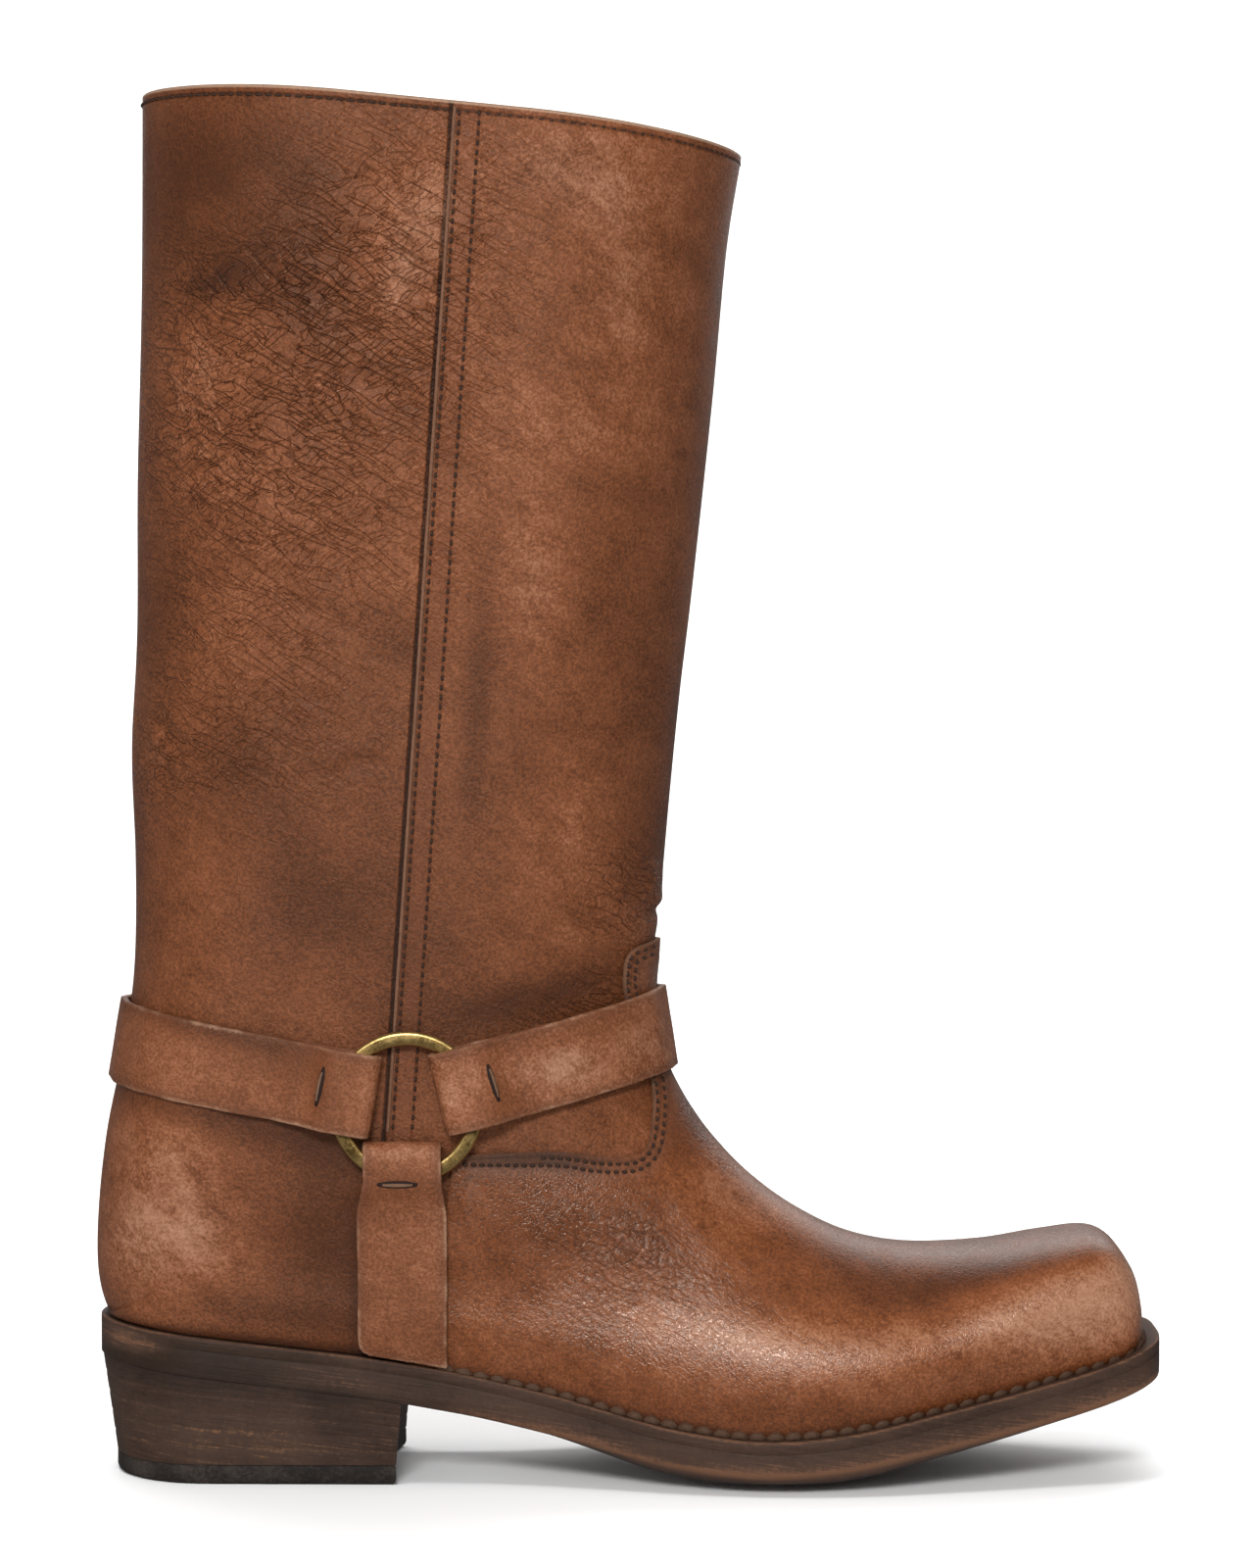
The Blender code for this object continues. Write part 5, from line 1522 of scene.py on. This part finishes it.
def build_ring(node, material):
    """A ring turned to the solid's size: flat faces, bevelled rims, lightly dented."""
    places = points_of(frame["nodes"][node].data)
    centre = (places.max(axis=0) + places.min(axis=0)) / 2
    _, _, (forward, up, out) = np.linalg.svd(places - places.mean(axis=0), full_matrices=False)
    radius = np.max(np.linalg.norm((places - centre) - np.outer((places - centre) @ out, out), axis=1))
    profile = [(radius - RING_BAND + step, high, rubbed) for step, high, rubbed in RIM]
    profile += [(radius - step, high, rubbed) for step, high, rubbed in RIM[::-1]]
    profile += [(reach, -high, rubbed) for reach, high, rubbed in profile[-2:0:-1]]
    points = []
    for angle in np.arange(RING_STEPS) * 2 * math.pi / RING_STEPS:
        ray = math.cos(angle) * forward + math.sin(angle) * up
        for reach, high, _ in profile:
            spot = Vector((RING_DENTS * math.cos(angle), RING_DENTS * math.sin(angle), high + reach))
            points.append(centre + ray * (reach + RING_DENT * noise.noise(spot)) + out * high)
    faces = ring_faces(RING_STEPS, len(profile))
    item = mesh_object(node + "_brass", np.array(points) + SHIFT, faces, [material], smooth=50.0)
    store(item, "rubbed", [rubbed for _, _, rubbed in profile] * RING_STEPS)
    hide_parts(node)


def build_bars(trees, material, slit_shade_material):
    """Bar stitches that hold the folded ends of the straps, each in a dark slit body that paints the slit's
    shade.
    """
    threads = []
    slits = []
    for strap, x, z, length, slope in BARS:
        turn = math.radians(slope)
        way = np.array((math.cos(turn), math.sin(turn))) * length / 2
        for side, sign in SIDES:
            tree = trees[strap + "_" + side if strap == "strap_under" else strap]
            ends = [seen_from_side(tree, x + t * way[0], z + t * way[1], sign) for t in BAR_SPOTS]
            if any(end is None for end in ends):
                continue
            place, out = ends[1]
            direction = ends[2][0] - ends[0][0]
            threads.append((place + out * TACK_LIFT, direction, out))
            # a dark body under each bar: painted shade of its slit
            slits.append((place - out * SLIT_SINK, direction, out))
    stitches("bar_stitches", threads, TACK, material)
    stitches("bar_slits", slits, SLIT, slit_shade_material)


def build_collar_stitches(material):
    """A row of stitches round the collar."""
    k = len(SECTIONS) - 1 - COLLAR_ROW / COLLAR_SECTION
    ring = np.concatenate((half_section(k, 0, COLLAR_STEPS)[::-1], half_section(k, 1, COLLAR_STEPS)))
    places, ways = spaced(ring, COLLAR_PITCH)
    out = np.cross(ways, (0.0, 0.0, 1.0))
    out *= np.sign(np.sum(out * (places - ring.mean(axis=0)), axis=1))[:, None]
    stitches("collar_stitches", zip(places, ways, out), COLLAR_STITCH, material)


def build_welt_stitches(material):
    """Thick stitches along the welt, from one side of the heel round the toe to the other."""
    loop = foot_loop(*WELT_ROW, follow=False)
    half = len(loop) // 2
    loop = np.concatenate((loop[half:], loop[1:half]))
    places, ways = spaced(loop[loop[:, 0] > WELT_SEWN], WELT_PITCH)
    out = np.cross(ways, (0.0, 0.0, 1.0))
    out *= np.sign(out[:, 1] * places[:, 1] + TINY)[:, None]
    out = unit(out) + (0.0, 0.0, 1.0)
    stitches("welt_stitches", zip(places, ways, out), WELT_STITCH, material)


def build_stage():
    """Pale sweep of paper, soft lights and the camera at the photo's place."""
    scene = bpy.context.scene
    profile = [(SWEEP_FRONT, 0.0), (0.0, 0.0)]
    for a in np.linspace(0, math.pi / 2, SWEEP_STEPS):
        profile.append((SWEEP_BEND + SWEEP_RADIUS * math.sin(a), SWEEP_RADIUS * (1 - math.cos(a))))
    profile.append((SWEEP_BEND + SWEEP_RADIUS, SWEEP_HEIGHT))
    points = [(SHIFT[0] + side * SWEEP_HALF, y, z) for y, z in profile for side in (-1, 1)]
    faces = [(2 * i, 2 * i + 1, 2 * i + 3, 2 * i + 2) for i in range(len(profile) - 1)]
    paper = pale_floor("studio_paper")
    sweep = mesh_object("studio_sweep", points, faces, [paper], smooth=60.0, face_out=False)
    sweep.visible_glossy = False

    world = bpy.data.worlds.new("studio")
    scene.world = world
    world.use_nodes = True
    background = world.node_tree.nodes["Background"]
    background.inputs["Color"].default_value = (1.0, 1.0, 1.0, 1.0)
    background.inputs["Strength"].default_value = WORLD_LIGHT
    for name, place, aim, size, watts, mirrored in LIGHTS:
        data = bpy.data.lights.new(name, "AREA")
        data.shape = "RECTANGLE"
        data.size, data.size_y = size
        data.energy = watts
        lamp = bpy.data.objects.new(name, data)
        lamp.visible_glossy = mirrored
        lamp.visible_camera = False
        lamp.location = place
        lamp.rotation_euler = (Vector(aim) - Vector(place)).to_track_quat("-Z", "Y").to_euler()
        scene.collection.objects.link(lamp)

    lens = bpy.data.cameras.new("photo_camera")
    lens.lens = CAMERA_LENS
    lens.sensor_width = 36.0
    lens.clip_start = 0.05
    camera = bpy.data.objects.new("photo_camera", lens)
    camera.location = CAMERA_PLACE
    camera.rotation_euler = (math.radians(90.0 - CAMERA_DOWN), 0.0, 0.0)
    scene.collection.objects.link(camera)
    scene.camera = camera
    scene.view_settings.view_transform = "Standard"


def build():
    """Dress the boot."""
    shaft = leather("shaft_leather", rough=0.42, specular=0.22, grain=0.09, shade=0.43, crackle=1.0,
                    marks=SHAFT_MARKS, strips=SHAFT_STRIPS)
    foot = leather("vamp_leather", rough=0.26, specular=0.52, grain=0.05, shade=0.42, tone=0.42, mottle=0.1,
                   crackle=0.35, pebble=0.9, marks=VAMP_MARKS, sheen=(1.0, 0.88, 0.78), dye=(1.0, 0.93, 0.80),
                   dull_edge=0.45)
    strap = leather("strap_leather", rough=0.46, specular=0.26, grain=0.10, shade=0.52, crackle=0.8,
                    cut_edges=True)
    edge = raw_edge("raw_edge", light=(0.340, 0.210, 0.138), dark=(0.085, 0.044, 0.026))
    piping = raw_edge("seam_piping", light=(0.200, 0.100, 0.058), dark=(0.075, 0.032, 0.018))
    inside = lining("lining_leather")
    sole = sole_leather("sole_edge", dark=(0.020, 0.011, 0.007), brown=(0.054, 0.029, 0.019),
                        worn=(0.190, 0.086, 0.044), amount=0.48)
    stack = sole_leather("heel_stain", dark=(0.020, 0.011, 0.008), brown=(0.053, 0.029, 0.019),
                         worn=(0.240, 0.112, 0.045), amount=0.70)
    sewing = thread("dark_thread", dark=(0.012, 0.007, 0.005), light=(0.050, 0.026, 0.017))
    cord = thread("welt_thread", dark=(0.020, 0.011, 0.008), light=(0.105, 0.055, 0.032))
    tack = thread("tack_thread", dark=(0.060, 0.030, 0.018), light=(0.190, 0.105, 0.062))
    # near-black colour for the slit bodies: painted shade
    slit = thread("slit_shadow", dark=(0.010, 0.005, 0.004), light=(0.026, 0.012, 0.009))

    upper = build_upper([shaft, edge, inside])
    vamp = build_vamp([foot, piping])
    upper_tree = tree_of(upper)
    vamp_tree = tree_of(vamp)
    build_seams(upper_tree, piping)
    build_welt(sole)
    build_outsole(sole)
    build_heel(stack, rubber("lift_rubber"))
    metal = brass("antique_brass")
    for node in ("ring_lateral", "ring_medial"):
        build_ring(node, metal)
    trees = {}
    for seed, node in enumerate(("strap_back", "strap_front", "strap_under_lateral", "strap_under_medial")):
        trees[node] = tree_of(build_strap(node, strap, STRAP_SEED * seed))
    insole = frame["nodes"]["insole"].data.materials
    insole.clear()
    insole.append(lining("insole_leather"))

    rows = []
    for offset in SEAM_ROWS:
        z = np.array((SEAM_LOW[1], SEAM_TOP[1] + SEAM_EXTRA))
        rows += side_rows(upper_tree, np.stack((seam_line(z) + offset, z), axis=1), STITCH_PITCH)
    stitches("side_seam_stitches", rows, SEAM_STITCH, sewing)
    rows = []
    for offset in VAMP_ROWS:
        line = inset(VAMP_LINE, offset)
        rows += side_rows(vamp_tree, line[line[:, 0] > VAMP_SEWN], VAMP_PITCH)
    stitches("vamp_stitches", rows, VAMP_STITCH, sewing)
    build_collar_stitches(sewing)
    build_welt_stitches(cord)
    build_bars(trees, tack, slit)

    for item in list(bpy.context.scene.objects):
        if item.type == "MESH" and item.name != "studio_sweep" and "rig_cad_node" not in item:
            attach(item, "root")


build()
build_stage()
bpy.context.view_layer.update()
